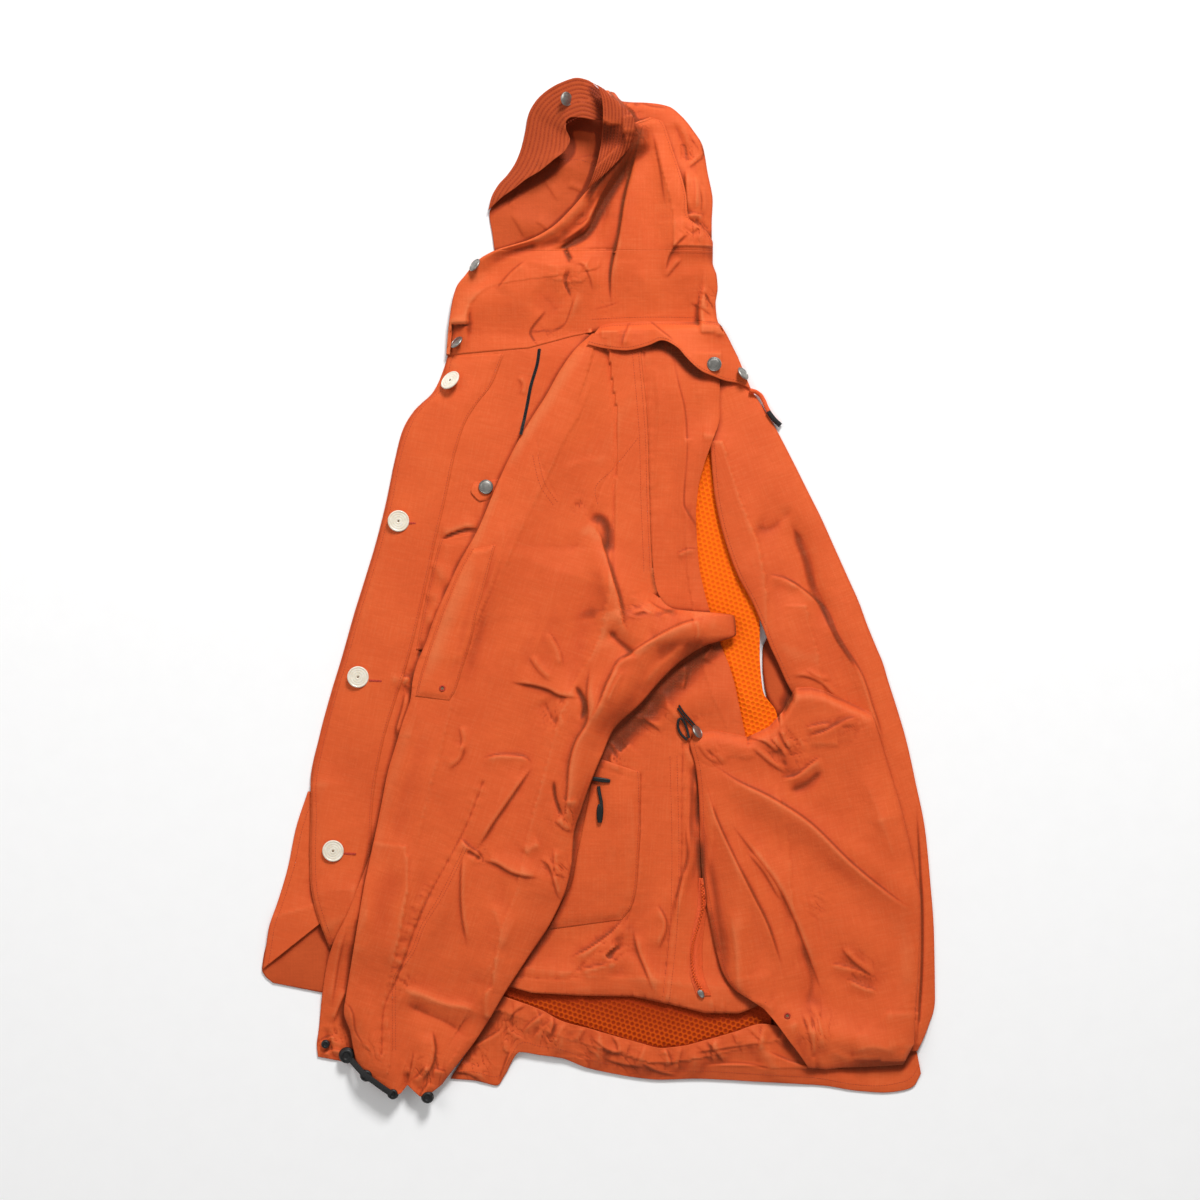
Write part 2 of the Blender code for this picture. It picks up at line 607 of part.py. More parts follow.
# Largest folds: start across, down, bend across, down, end across, down, width, height.
SLEEVE_FOLDS = [
    (585, 522, 610, 555, 632, 628, 26, 7), (604, 512, 640, 560, 660, 610, 24, 3),
    (655, 628, 700, 622, 728, 624, 26, 9), (560, 650, 610, 690, 640, 700, 26, 5),
    (600, 698, 565, 750, 556, 840, 26, 7), (520, 785, 505, 820, 482, 840, 22, 4),
    (500, 870, 540, 870, 566, 890, 24, 4), (470, 850, 430, 930, 398, 990, 24, 5),
    (400, 1000, 450, 1018, 480, 1010, 26, -7), (420, 1030, 425, 1060, 430, 1085, 20, 4),
    (470, 560, 440, 640, 420, 720, 30, 3), (540, 700, 520, 760, 520, 800, 30, 4),
]
FRONT_FOLDS = [
    (470, 400, 430, 500, 410, 560, 44, 3), (390, 620, 380, 680, 350, 760, 40, 3),
    (350, 820, 345, 880, 350, 930, 30, 3),
]
SIDE_FOLDS = [
    (670, 362, 692, 440, 690, 545, 26, 6), (660, 400, 655, 470, 668, 560, 26, 3),
    (640, 720, 690, 700, 735, 690, 30, 4), (612, 775, 650, 860, 622, 925, 26, 4),
    (690, 760, 690, 880, 668, 1000, 26, 4), (600, 960, 640, 950, 655, 1000, 22, 4),
]
CAPE_FOLDS = [
    (730, 420, 760, 500, 780, 600, 40, 5), (794, 532, 808, 560, 822, 604, 20, -8),
    (800, 590, 790, 640, 790, 680, 30, 3), (838, 600, 870, 680, 890, 750, 22, 3),
    (915, 880, 922, 960, 915, 1020, 26, 3),
]
BAG_FOLDS = [
    (702, 748, 770, 800, 870, 885, 36, 9), (700, 760, 750, 850, 800, 980, 34, 8),
    (735, 850, 745, 930, 735, 1000, 32, 7), (780, 1010, 830, 1040, 900, 1050, 34, 8),
    (800, 700, 850, 715, 900, 800, 36, 6), (850, 740, 890, 820, 905, 900, 34, 5),
    (770, 735, 790, 760, 830, 765, 24, 4), (800, 900, 860, 950, 900, 960, 34, 5),
]
COLLAR_FOLDS = [
    (580, 262, 590, 300, 548, 340, 26, 5), (490, 275, 470, 310, 462, 340, 34, 4),
    (540, 262, 520, 290, 500, 330, 34, 4), (690, 280, 700, 300, 695, 318, 18, 3),
    (640, 260, 640, 290, 640, 315, 40, 3),
]
HOOD_FOLDS = [
    (640, 150, 625, 200, 612, 245, 24, 4), (622, 172, 600, 200, 568, 242, 16, -9),
    (664, 160, 672, 200, 668, 240, 34, 5),
]
GUSSET_FOLDS = [(690, 140, 700, 175, 700, 215, 16, 4), (612, 98, 625, 112, 632, 122, 14, 3)]
HEM_FOLDS = [
    (560, 1024, 562, 1040, 558, 1054, 12, 3), (600, 1036, 600, 1050, 596, 1066, 12, 3),
    (640, 1046, 645, 1060, 640, 1075, 14, 3), (690, 1050, 700, 1062, 690, 1076, 14, 3),
    (750, 1036, 770, 1055, 780, 1080, 16, 3),
]
RIGHT_HOOD_FOLDS = [(500, 215, 540, 220, 560, 240, 26, 3), (540, 165, 570, 160, 596, 175, 24, 3)]

# Buttons and snaps: name, across, down, lean, towards.
BUTTONS = [
    ("button_1", 450, 380, 52, 315), ("button_2", 398.5, 521, 0, 0), ("button_3", 358, 677, 0, 0),
    ("button_4", 333, 851, 0, 0),
]
SNAPS = [
    ("snap_collar_top", 477, 267, 62, 144), ("snap_collar_low", 458.5, 344, 62, 135),
    ("snap_brim", 564.6, 101, 42, 0), ("snap_chest", 486, 487, 0, 0), ("snap_yoke", 714, 365, 22, 90),
    ("snap_yoke_edge", 741, 375, 62, 37), ("snap_bag", 695, 733, 62, 33),
]
CHEST_ZIP = [(536, 348, 540, 348), (537, 362, 541, 362), (533, 378, 537, 379), (528, 398, 532, 399),
             (522, 416, 526, 417), (517, 434, 521, 436)]


# Cords: name, finish, thickness, route as (across, down).
CORDS = [
    ("cuff_cord", "black", CUFF_CORD, [(351, 1061), (356, 1066), (361, 1071.5), (366, 1077),
                                       (371, 1082.5), (377, 1088), (383, 1092.5), (389, 1096)]),
    ("pocket_pull_cord", "black", PULL_CORD, [(598.5, 786), (599.5, 793), (601, 800), (601.5, 807),
                                              (600.5, 814), (600, 820)]),
    ("bag_pull_cord", "black", PULL_CORD, [(680, 704), (682, 709), (685, 713), (689, 717.5),
                                           (692, 721), (694, 725)]),
    ("bag_loop", "black", 2.6, [(687, 740), (681, 734), (678, 727), (678.5, 720), (682, 719),
                                (685, 724), (687.5, 731), (689, 738)]),
    ("hanging_loop", "orange", 5.0, [(750, 390), (756, 391.5), (761, 395), (764.5, 401), (767, 408)]),
    ("hanging_loop_tip", "black", 5.0, [(768.5, 411), (772, 416), (776, 420.5), (781, 425)]),
]
# Turned ends: name, across, down, radius, height.
CORD_ENDS = [
    ("cuff_cord_lock", 345, 1054, 8.0, 12.0), ("cuff_cord_end", 396, 1098, 5.6, 9.0),
    ("cuff_toggle", 429, 1101, 6.0, 9.0),
]
# Zip heads: name, across, down, length, width, height, turn.
ZIP_HEADS = [
    ("pocket_zip_head", 601, 779.5, 17.0, 4.6, 4.0, -8), ("bag_zip_head", 703, 1001, 9.0, 6.0, 3.0, 20),
]


# ---------------------------------------------------------------- the jacket
def build_floor_layers(pile, shell, net):
    """The pieces that lie on the surface, and the lining on them."""
    cut_panel(pile, "right_facing", RIGHT_FACING, shell, 5, 4)
    cut_panel(pile, "right_front", RIGHT_FRONT, shell, 7, 3, slack=0.8)
    lay_hidden_layers(pile, "hidden_layers", HIDDEN_LAYERS, shell, 26, 6)
    cut_panel(pile, "right_back_edge", RIGHT_BACK_EDGE, shell, 6, 3)
    cut_panel(pile, "right_back", RIGHT_BACK, shell, 18, 4)
    cut_panel(pile, "right_hood", RIGHT_HOOD, shell, 10, 7, slack=1.5, folds=RIGHT_HOOD_FOLDS)
    cut_panel(pile, "net_vent", NET_VENT, net, 12, 3, wall=MESH_CLOTH, slack=0.5)
    cut_panel(pile, "net_hem", NET_HEM, net, 12, 3, wall=MESH_CLOTH, slack=0.5)
    cut_panel(pile, "hem_band", HEM_BAND, shell, 28, 3, slack=1.0, folds=HEM_FOLDS)


def build_body(pile, shell, tape, black):
    """Fronts, side, right cape and the pockets on them."""
    cut_panel(pile, "right_cape", RIGHT_CAPE, shell, 28, 6, slack=2.5, folds=CAPE_FOLDS)
    cut_panel(pile, "left_front", LEFT_FRONT, shell, 24, 6, slack=1.5, folds=FRONT_FOLDS)
    cut_panel(pile, "front_placket", PLACKET, shell, 20, 2, wall=TRIM)
    cut_panel(pile, "chest_pocket", CHEST_POCKET, shell, 6, 3, wall=TRIM)
    cut_panel(pile, "snap_tab", SNAP_TAB, shell, 3, 2, wall=TRIM, reach=10)
    cut_panel(pile, "chest_zip", CHEST_ZIP, black, 7, 1, wall=TRIM, reach=TRIM_REACH)
    cut_panel(pile, "side_back", SIDE_BACK, shell, 32, 7, slack=2.0, folds=SIDE_FOLDS, foot=SIDE_HEM)
    cut_panel(pile, "hand_pocket", HAND_POCKET, shell, 9, 4, slack=0.5, wall=TRIM)
    cut_panel(pile, "game_bag_zip", GAME_BAG_ZIP, tape, 8, 1, wall=TRIM, reach=TRIM_REACH)
    cut_panel(
        pile, "game_bag", GAME_BAG, shell, 17, 11, slack=5.0, folds=BAG_FOLDS, head=GAME_BAG_TOP,
        foot=GAME_BAG_FOOT,
    )


def build_sleeve(pile, shell):
    """The left sleeve across the body, its under-fold at the cuff and its pocket."""
    cut_panel(pile, "cuff_fold", CUFF_FOLD, shell, 12, 3, slack=1.5)
    fold_sleeve(pile, "left_sleeve", SLEEVE, shell, 38, 8, SLEEVE_FOLDS, SLEEVE_HEM)
    cut_panel(pile, "arm_pocket", ARM_POCKET, shell, 9, 3, wall=TRIM)


def build_hood(pile, shell):
    """Collar, hood, its quilted brim band, and the yoke flap over the shoulder."""
    cut_panel(
        pile, "brim_lower", BRIM_LOWER, shell, 18, 5, lifts=BRIM_LOWER_LIFT, wall=2.0, reach=10
    )
    cut_panel(pile, "hood_gusset", HOOD_GUSSET, shell, 16, 4, slack=2.0, folds=GUSSET_FOLDS)
    cut_panel(
        pile, "collar", COLLAR, shell, 9, 12, slack=4.0, folds=COLLAR_FOLDS, foot=NECK_SEAM
    )
    cut_panel(
        pile, "left_hood", LEFT_HOOD, shell, 12, 10, slack=3.0, folds=HOOD_FOLDS,
        lifts=LEFT_HOOD_LIFT,
    )
    cut_panel(
        pile, "brim_upper", BRIM_UPPER, shell, 12, 4, lifts=BRIM_UPPER_LIFT, wall=2.0, reach=12
    )
    cut_panel(pile, "yoke_flap", YOKE_FLAP, shell, 16, 4, slack=1.0)


def build_fasteners(pile, horn, steel):
    """Buttons and snaps, as turned pieces on the cloth."""
    radius, thick = BUTTON / 2, BUTTON_THICK
    button = [
        (radius * 0.62, 0.0), (radius * 0.95, 0.25 * thick), (radius, 0.55 * thick),
        (radius * 0.93, thick), (radius * 0.78, thick), (radius * 0.70, 0.72 * thick),
    ]
    radius, thick = SNAP / 2, SNAP_THICK
    snap = [
        (radius * 0.8, 0.0), (radius, 0.3 * thick), (radius * 0.96, 0.7 * thick),
        (radius * 0.72, thick),
    ]
    for table, profile, finish, sides in ((BUTTONS, button, horn, 16), (SNAPS, snap, steel, 12)):
        radius = max(r for r, _ in profile)
        for name, across, down, lean, towards in table:
            base = rest_height(pile, across, down, radius) + REST_GAP
            base += radius * math.sin(math.radians(lean))
            turned(name, profile, finish, (across, down, base), sides, lean, towards)


def build_cords(pile, black, orange):
    """The cuff's drawcord with its locks, the pull cords and the hanging loop."""
    finishes = {"black": black, "orange": orange}
    for name, finish, thickness, route in CORDS:
        lay_cord(pile, name, route, thickness, finishes[finish])
    for name, across, down, radius, height in CORD_ENDS:
        base = rest_height(pile, across, down, radius) + END_GAP
        turned(name, ball_profile(radius, height), black, (across, down, base))
    for name, across, down, length, width, height, turn in ZIP_HEADS:
        base = rest_height(pile, across, down, 0.5 * length) + END_GAP
        block(name, (across, down, base), (length, width, height), turn, black)


def build():
    clear_scene()
    pile = Pile()
    shell = material("orange_nylon", SHELL, 0.62)
    net = material("net_lining", NET, 0.7)
    tape = material("zip_tape", TAPE, 0.6)
    horn = material("cream_buttons", HORN, 0.35)
    steel = material("snap_steel", STEEL, 0.38, 0.9)
    black = material("black_trim", BLACK, 0.55)
    build_floor_layers(pile, shell, net)
    build_body(pile, shell, tape, black)
    build_sleeve(pile, shell)
    build_hood(pile, shell)
    build_fasteners(pile, horn, steel)
    build_cords(pile, black, tape)


build()
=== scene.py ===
"""Looks of the hooded jacket: thin nylon laid on its side, seen from straight above.

Every piece of cloth is a grid of points on a plan sheet (across to the right, down towards the
hem, in mm). Its height is read from a map of the pile below it, raised by slack, folds, creases,
seams and fine crumple. The tables repeat the cuts of the solids and add the finer folds.
"""

import math

import bpy
import numpy as np
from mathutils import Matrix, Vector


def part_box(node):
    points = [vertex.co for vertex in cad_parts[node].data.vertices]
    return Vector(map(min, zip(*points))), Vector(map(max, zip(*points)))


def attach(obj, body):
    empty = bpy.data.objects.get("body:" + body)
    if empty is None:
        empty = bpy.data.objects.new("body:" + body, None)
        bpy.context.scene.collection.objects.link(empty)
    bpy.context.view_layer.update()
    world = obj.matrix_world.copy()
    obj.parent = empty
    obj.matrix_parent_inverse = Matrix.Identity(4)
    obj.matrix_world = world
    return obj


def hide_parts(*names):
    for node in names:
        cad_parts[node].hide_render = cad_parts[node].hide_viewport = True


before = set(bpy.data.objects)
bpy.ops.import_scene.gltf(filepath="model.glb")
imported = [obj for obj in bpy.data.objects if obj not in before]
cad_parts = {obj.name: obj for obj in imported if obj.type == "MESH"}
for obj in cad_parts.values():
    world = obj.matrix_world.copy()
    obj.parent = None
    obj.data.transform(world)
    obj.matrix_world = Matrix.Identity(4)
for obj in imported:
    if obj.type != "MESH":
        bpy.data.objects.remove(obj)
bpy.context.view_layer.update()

MM = 0.001
SHEET = 1200.0                  # the plan sheet is this wide and deep, mm
MIDDLE = (598.6, 586.6)         # the jacket's middle on the sheet
CELL = 2.0                      # spacing of the height map
WALL = 0.7                      # thickness of the shell cloth as shown
REST_GAP = 0.5
MOUND = 9.0                     # height of the hidden layers, as in the solids
SLEEVE_EDGE = 5.0
SLEEVE_PUFF = 11.0
FOLD_SCALE = 0.75                # eases all creases at once
SHADOW = 3.0                     # how strongly the painted shadow darkens a crease's foot, on the scale of sharpness
STITCH = 2.6                    # one stitch with its gap
BUTTON = 21.6
BUTTON_THICK = 3.6
SNAP = 14.5
SNAP_THICK = 3.2
CUFF_CORD = 6.0
PULL_CORD = 3.4
SIDE = int(SHEET / CELL) + 1
LEAST_FILL = 0.31               # least share of its rectangle that a sheet is taken to fill
STITCH_HALF = 0.34              # half a thread's thickness, mm
STITCH_SHARE = 0.72             # the part of a stitch's run that the thread covers
STRAP_HEIGHT = 3.4              # how high the cuff's ribbed strap is
MOUND_EDGE = 1.2                # height of the hidden layers at their rim
MOUND_DOME = (4, 6)             # how squarely they fall off, across and along
MOUND_DROP = 0.4                # how far their cloth lies under their own height
SLEEVE_SPACING = 1.55           # spacing of the sleeve's lattice
SLEEVE_SPAN = (790, 200)        # its length and width, for the count of rows and columns
SLEEVE_UNDER = 26               # columns of its lower layer
SLEEVE_THIN = (1.0, 2.0)        # its edge and puff where it is sewn down flat
SEWN_RUN = (0.24, 0.06)         # share of its length where that ends, and over how much
FLUSH_RUN = (0.375, 0.08)       # the same for its back edge, which is flush with the body's cloth
FLUSH_PLACE = (1, 0.15)         # the same along that edge's own line
FLUSH_GAP = 0.4                 # height of the flush cloth over the body
LAYER_GAP = (0.8, 0.35)         # its lower layer: over the rest, and under the upper layer
# Painted shade in hollows, laid by shade_hollows:
HOLLOW_REACH = (2, 5)           # how far the surroundings of a hollow are spread and softened
HOLLOW_SHIFT = 3.5              # they are read this far up the plan, where the shade falls
HOLLOW_FREE = 2.0               # a smaller difference in height casts no shade
HOLLOW_MOST = 6                 # nor does a larger one cast more
HOLLOW_SHARE = 0.85             # what a millimetre of it takes off the fold's value, as painted shade
NET_DIM = 8                     # the lack at which the net's painted shade would be black


# ---------------------------------------------------------------- camera, light, floor
VIEW_MIDDLE = (0.0014, -0.0134)     # what the photograph's middle looks at
VIEW_WIDTH = 1.2
VIEW_HEIGHT = 3.6


def set_stage():
    """Camera straight down at the photograph's framing, soft studio light and a pale floor."""
    scene = bpy.context.scene
    camera = bpy.data.cameras.new("camera")
    camera.sensor_width = 36.0
    camera.lens = camera.sensor_width * VIEW_HEIGHT / VIEW_WIDTH
    holder = bpy.data.objects.new("camera", camera)
    holder.location = (*VIEW_MIDDLE, VIEW_HEIGHT + 0.012)
    scene.collection.objects.link(holder)
    scene.camera = holder
    scene.view_settings.view_transform = "Standard"
    world = bpy.data.worlds.new("studio")
    world.use_nodes = True
    sky = world.node_tree.nodes["Background"]
    sky.inputs["Color"].default_value = (1.0, 0.99, 0.98, 1.0)
    sky.inputs["Strength"].default_value = 0.27
    scene.world = world
    lamps = (
        ("key", (0.7, 2.7, 2.4), 1.1, 133.0),
        ("fill", (-2.2, 0.9, 2.2), 1.8, 20.0),
        ("foot", (0.2, -2.2, 2.4), 1.8, 11.0),
    )
    for name, place, size, power in lamps:
        lamp = bpy.data.lights.new(name, "AREA")
        lamp.shape = "DISK"
        lamp.size = size
        lamp.energy = power
        thing = bpy.data.objects.new(name, lamp)
        thing.location = place
        away = np.array(place) - (0.0, 0.0, 0.02)
        yaw = math.atan2(away[0], -away[1])
        thing.rotation_euler = (math.acos(away[2] / np.linalg.norm(away)), 0.0, yaw)
        scene.collection.objects.link(thing)
    half = 4.0
    mesh = bpy.data.meshes.new("floor")
    corners = [(-half, -half, 0), (half, -half, 0), (half, half, 0), (-half, half, 0)]
    mesh.from_pydata(corners, [], [(0, 1, 2, 3)])
    floor = bpy.data.objects.new("floor", mesh)
    floor.location.z = -0.0004
    scene.collection.objects.link(floor)
    mesh.materials.append(floor_finish())


# ---------------------------------------------------------------- materials
def new_material(name):
    made = bpy.data.materials.new(name)
    made.use_nodes = True
    tree = made.node_tree
    return made, tree, tree.nodes["Principled BSDF"]


def link(tree, source, target):
    tree.links.new(source, target)


def math_node(tree, kind, first, second=None, third=None):
    """A Math node; each argument is a socket or a number."""
    node = tree.nodes.new("ShaderNodeMath")
    node.operation = kind
    for slot, value in enumerate((first, second, third)):
        if value is None:
            continue
        if isinstance(value, (int, float)):
            node.inputs[slot].default_value = value
        else:
            link(tree, value, node.inputs[slot])
    return node.outputs[0]


def mix_colour(tree, share, first, second):
    """Mixes two colours (sockets or RGB) by a share (socket or number)."""
    node = tree.nodes.new("ShaderNodeMix")
    node.data_type = "RGBA"
    for slot, value in ((0, share), (6, first), (7, second)):
        if isinstance(value, (int, float)):
            node.inputs[slot].default_value = value
        elif isinstance(value, tuple):
            node.inputs[slot].default_value = (*value, 1.0)
        else:
            link(tree, value, node.inputs[slot])
    return node.outputs[2]


def ramp(tree, value, low, high):
    """A 0 to 1 share as value goes from low to high."""
    node = tree.nodes.new("ShaderNodeMapRange")
    node.inputs["From Min"].default_value = low
    node.inputs["From Max"].default_value = high
    link(tree, value, node.inputs["Value"])
    return node.outputs["Result"]


def noise_node(tree, vector, scale, detail=3.0, rough=0.55):
    node = tree.nodes.new("ShaderNodeTexNoise")
    node.inputs["Scale"].default_value = scale
    node.inputs["Detail"].default_value = detail
    node.inputs["Roughness"].default_value = rough
    link(tree, vector, node.inputs["Vector"])
    return node.outputs["Fac"]


def group_of(name, inputs, outputs):
    """An empty shader node group with named inputs (name, kind, value) and outputs (name, kind)."""
    tree = bpy.data.node_groups.new(name, "ShaderNodeTree")
    for label, kind, value in inputs:
        made = tree.interface.new_socket(name=label, in_out="INPUT", socket_type=kind)
        if value is not None:
            made.default_value = value
    for label, kind in outputs:
        tree.interface.new_socket(name=label, in_out="OUTPUT", socket_type=kind)
    return tree, tree.nodes.new("NodeGroupInput"), tree.nodes.new("NodeGroupOutput")


def plain_weave_group():
    """Warp and weft as two crossed sine waves, whose product is the over-and-under height.

    Slub is the uneven thickness of the threads: two noises, each stretched along one set of them.
    """
    tree, given, out = group_of(
        "plain weave",
        [("Vector", "NodeSocketVector", None), ("Threads per metre", "NodeSocketFloat", 1400.0)],
        [("Height", "NodeSocketFloat"), ("Slub", "NodeSocketFloat")],
    )
    parts = tree.nodes.new("ShaderNodeSeparateXYZ")
    link(tree, given.outputs["Vector"], parts.inputs[0])
    turns = math_node(tree, "MULTIPLY", given.outputs["Threads per metre"], math.pi)
    waves = [
        math_node(tree, "SINE", math_node(tree, "MULTIPLY", parts.outputs[axis], turns))
        for axis in (0, 1)
    ]
    over = math_node(tree, "MULTIPLY", waves[0], waves[1])
    link(tree, math_node(tree, "MULTIPLY_ADD", over, 0.5, 0.5), out.inputs["Height"])
    slubs = []
    for squeeze in ((1.0, 0.05, 1.0), (0.05, 1.0, 1.0)):
        stretched = tree.nodes.new("ShaderNodeVectorMath")
        stretched.operation = "MULTIPLY"
        link(tree, given.outputs["Vector"], stretched.inputs[0])
        stretched.inputs[1].default_value = squeeze
        slubs.append(noise_node(tree, stretched.outputs[0], 620.0, 3.0, 0.6))
    both = math_node(tree, "ADD", slubs[0], slubs[1])
    link(tree, math_node(tree, "MULTIPLY", both, 0.5), out.inputs["Slub"])
    return tree


def soft_mottle_group():
    """Broad and fine noise added up: Tone for colour, Height for the small crumple."""
    tree, given, out = group_of(
        "soft mottle",
        [("Vector", "NodeSocketVector", None), ("Size", "NodeSocketFloat", 1.0)],
        [("Tone", "NodeSocketFloat"), ("Height", "NodeSocketFloat"), ("Grain", "NodeSocketFloat")],
    )
    scaled = tree.nodes.new("ShaderNodeVectorMath")
    scaled.operation = "SCALE"
    link(tree, given.outputs["Vector"], scaled.inputs[0])
    link(tree, given.outputs["Size"], scaled.inputs["Scale"])
    link(tree, noise_node(tree, scaled.outputs[0], 14.0, 2.0), out.inputs["Tone"])
    link(tree, noise_node(tree, scaled.outputs[0], 95.0, 4.0), out.inputs["Height"])
    link(tree, noise_node(tree, scaled.outputs[0], 1500.0, 2.0), out.inputs["Grain"])
    return tree


GROUPS = {}


def place_group(tree, maker):
    """The shared group's node in this material; the group itself is built once."""
    if maker not in GROUPS:
        GROUPS[maker] = maker()
    node = tree.nodes.new("ShaderNodeGroup")
    node.node_tree = GROUPS[maker]
    return node


def own_vector(tree, kind="UV"):
    return tree.nodes.new("ShaderNodeTexCoord").outputs[kind]


def nylon_finish(name, body, shade, glint, roughness=0.6, threads=1400.0):
    """Fine nylon in two colours of thread, with slubs along warp and weft; its colour carries painted light
    from the fold attribute: painted shade in hollows, creases and gaps, a painted highlight on crests, and
    a painted sheen where the surface turns from the view.
    """
    made, tree, shader = new_material(name)
    vector = own_vector(tree)
    weave = place_group(tree, plain_weave_group)
    mottle = place_group(tree, soft_mottle_group)
    for node in (weave, mottle):
        link(tree, vector, node.inputs["Vector"])
    weave.inputs["Threads per metre"].default_value = threads
    fold = tree.nodes.new("ShaderNodeAttribute")
    fold.attribute_name = "fold"
    # Painted light from the fold attribute: painted shade in hollows (mixed to shade), in deep creases and
    # in gaps, and a painted highlight on crests (mixed to glint).
    hollow = ramp(tree, fold.outputs["Fac"], -0.1, -1.8)
    deep = ramp(tree, fold.outputs["Fac"], -1.2, -3.6)
    gap = ramp(tree, fold.outputs["Fac"], -3.4, -7.5)
    crest_highlight = ramp(tree, fold.outputs["Fac"], 0.5, 2.6)
    tone = ramp(tree, mottle.outputs["Tone"], 0.35, 0.65)
    colour = mix_colour(tree, math_node(tree, "MULTIPLY", tone, 0.30), body, shade)
    colour = mix_colour(tree, math_node(tree, "MULTIPLY", hollow, 0.75), colour, shade)
    # The two fixed colours below are painted shade: dark red for deep creases, near black for gaps.
    colour = mix_colour(tree, math_node(tree, "MULTIPLY", deep, 0.85), colour, (0.17, 0.014, 0.002))
    colour = mix_colour(tree, math_node(tree, "MULTIPLY", gap, 0.95), colour, (0.012, 0.001, 0.001))
    colour = mix_colour(tree, math_node(tree, "MULTIPLY", crest_highlight, 0.36), colour, glint)
    # Painted sheen: the colour turns towards glint where the surface turns away from the view.
    facing = tree.nodes.new("ShaderNodeLayerWeight")
    facing.inputs["Blend"].default_value = 0.35
    rim = math_node(tree, "MULTIPLY", facing.outputs["Facing"], 0.25)
    colour = mix_colour(tree, rim, colour, glint)
    slub = ramp(tree, weave.outputs["Slub"], 0.38, 0.62)
    dark, light = tuple(0.86 * c for c in body), tuple(0.5 * (c + d) for c, d in zip(body, glint))
    colour = mix_colour(tree, math_node(tree, "MULTIPLY", slub, 0.30), colour, dark)
    thin = ramp(tree, weave.outputs["Slub"], 0.52, 0.36)
    colour = mix_colour(tree, math_node(tree, "MULTIPLY", thin, 0.25), colour, light)
    grain = ramp(tree, mottle.outputs["Grain"], 0.35, 0.65)
    colour = mix_colour(tree, math_node(tree, "MULTIPLY", grain, 0.18), colour, dark)
    link(tree, colour, shader.inputs["Base Color"])
    rough = math_node(tree, "MULTIPLY_ADD", mottle.outputs["Tone"], 0.16, roughness - 0.08)
    link(tree, rough, shader.inputs["Roughness"])
    shader.inputs["Specular IOR Level"].default_value = 0.14
    shader.inputs["Sheen Weight"].default_value = 0.03
    shader.inputs["Sheen Roughness"].default_value = 0.4
    shader.inputs["Sheen Tint"].default_value = (0.95, 0.55, 0.33, 1.0)
    fine = tree.nodes.new("ShaderNodeBump")
    fine.inputs["Strength"].default_value = 0.5
    fine.inputs["Distance"].default_value = 0.00025
    both = math_node(tree, "MULTIPLY_ADD", weave.outputs["Slub"], 1.6, weave.outputs["Height"])
    link(tree, both, fine.inputs["Height"])
    broad = tree.nodes.new("ShaderNodeBump")
    broad.inputs["Strength"].default_value = 0.5
    broad.inputs["Distance"].default_value = 0.0014
    link(tree, mottle.outputs["Height"], broad.inputs["Height"])
    link(tree, fine.outputs["Normal"], broad.inputs["Normal"])
    link(tree, broad.outputs["Normal"], shader.inputs["Normal"])
    return made


def thread_finish(name, colour, scale=900.0, roughness=0.7):
    """Twisted thread, cord or tape: a slanted wave along the piece, with a little grain."""
    made, tree, shader = new_material(name)
    vector = own_vector(tree, "Object")
    wave = tree.nodes.new("ShaderNodeTexWave")
    wave.bands_direction = "DIAGONAL"
    wave.inputs["Scale"].default_value = scale
    wave.inputs["Distortion"].default_value = 1.5
    link(tree, vector, wave.inputs["Vector"])
    grain = noise_node(tree, vector, 2200.0, 2.0)
    dark = tuple(0.6 * c for c in colour)
    light = tuple(min(1.0, 1.12 * c + 0.004) for c in colour)
    both = mix_colour(tree, wave.outputs["Fac"], dark, light)
    both = mix_colour(tree, math_node(tree, "MULTIPLY", grain, 0.4), both, dark)
    link(tree, both, shader.inputs["Base Color"])
    rough = math_node(tree, "MULTIPLY_ADD", grain, 0.2, roughness - 0.1)
    link(tree, rough, shader.inputs["Roughness"])
    bump = tree.nodes.new("ShaderNodeBump")
    bump.inputs["Strength"].default_value = 0.6
    bump.inputs["Distance"].default_value = 0.0002
    link(tree, wave.outputs["Fac"], bump.inputs["Height"])
    link(tree, bump.outputs["Normal"], shader.inputs["Normal"])
    return made


def net_finish(name, light, deep):
    """Bright knitted net: yellower on its strands, with painted shade in the deep colour in its holes and
    where the fold attribute is dimmed.
    """
    made, tree, shader = new_material(name)
    vector = own_vector(tree, "Object")
    mottle = place_group(tree, soft_mottle_group)
    link(tree, vector, mottle.inputs["Vector"])
    fold = tree.nodes.new("ShaderNodeAttribute")
    fold.attribute_name = "fold"
    # low is painted shade: the holes between the strands, and the dimmed hem net.
    low = ramp(tree, fold.outputs["Fac"], 0.8, 0.05)
    colour = mix_colour(tree, low, light, deep)
    tone = math_node(tree, "MULTIPLY", ramp(tree, mottle.outputs["Grain"], 0.3, 0.7), 0.35)
    colour = mix_colour(tree, tone, colour, tuple(0.8 * c for c in light))
    link(tree, colour, shader.inputs["Base Color"])
    rough = math_node(tree, "MULTIPLY_ADD", mottle.outputs["Grain"], 0.2, 0.6)
    link(tree, rough, shader.inputs["Roughness"])
    shader.inputs["Specular IOR Level"].default_value = 0.12
    bump = tree.nodes.new("ShaderNodeBump")
    bump.inputs["Strength"].default_value = 0.5
    bump.inputs["Distance"].default_value = 0.0002
    link(tree, mottle.outputs["Grain"], bump.inputs["Height"])
    link(tree, bump.outputs["Normal"], shader.inputs["Normal"])
    return made


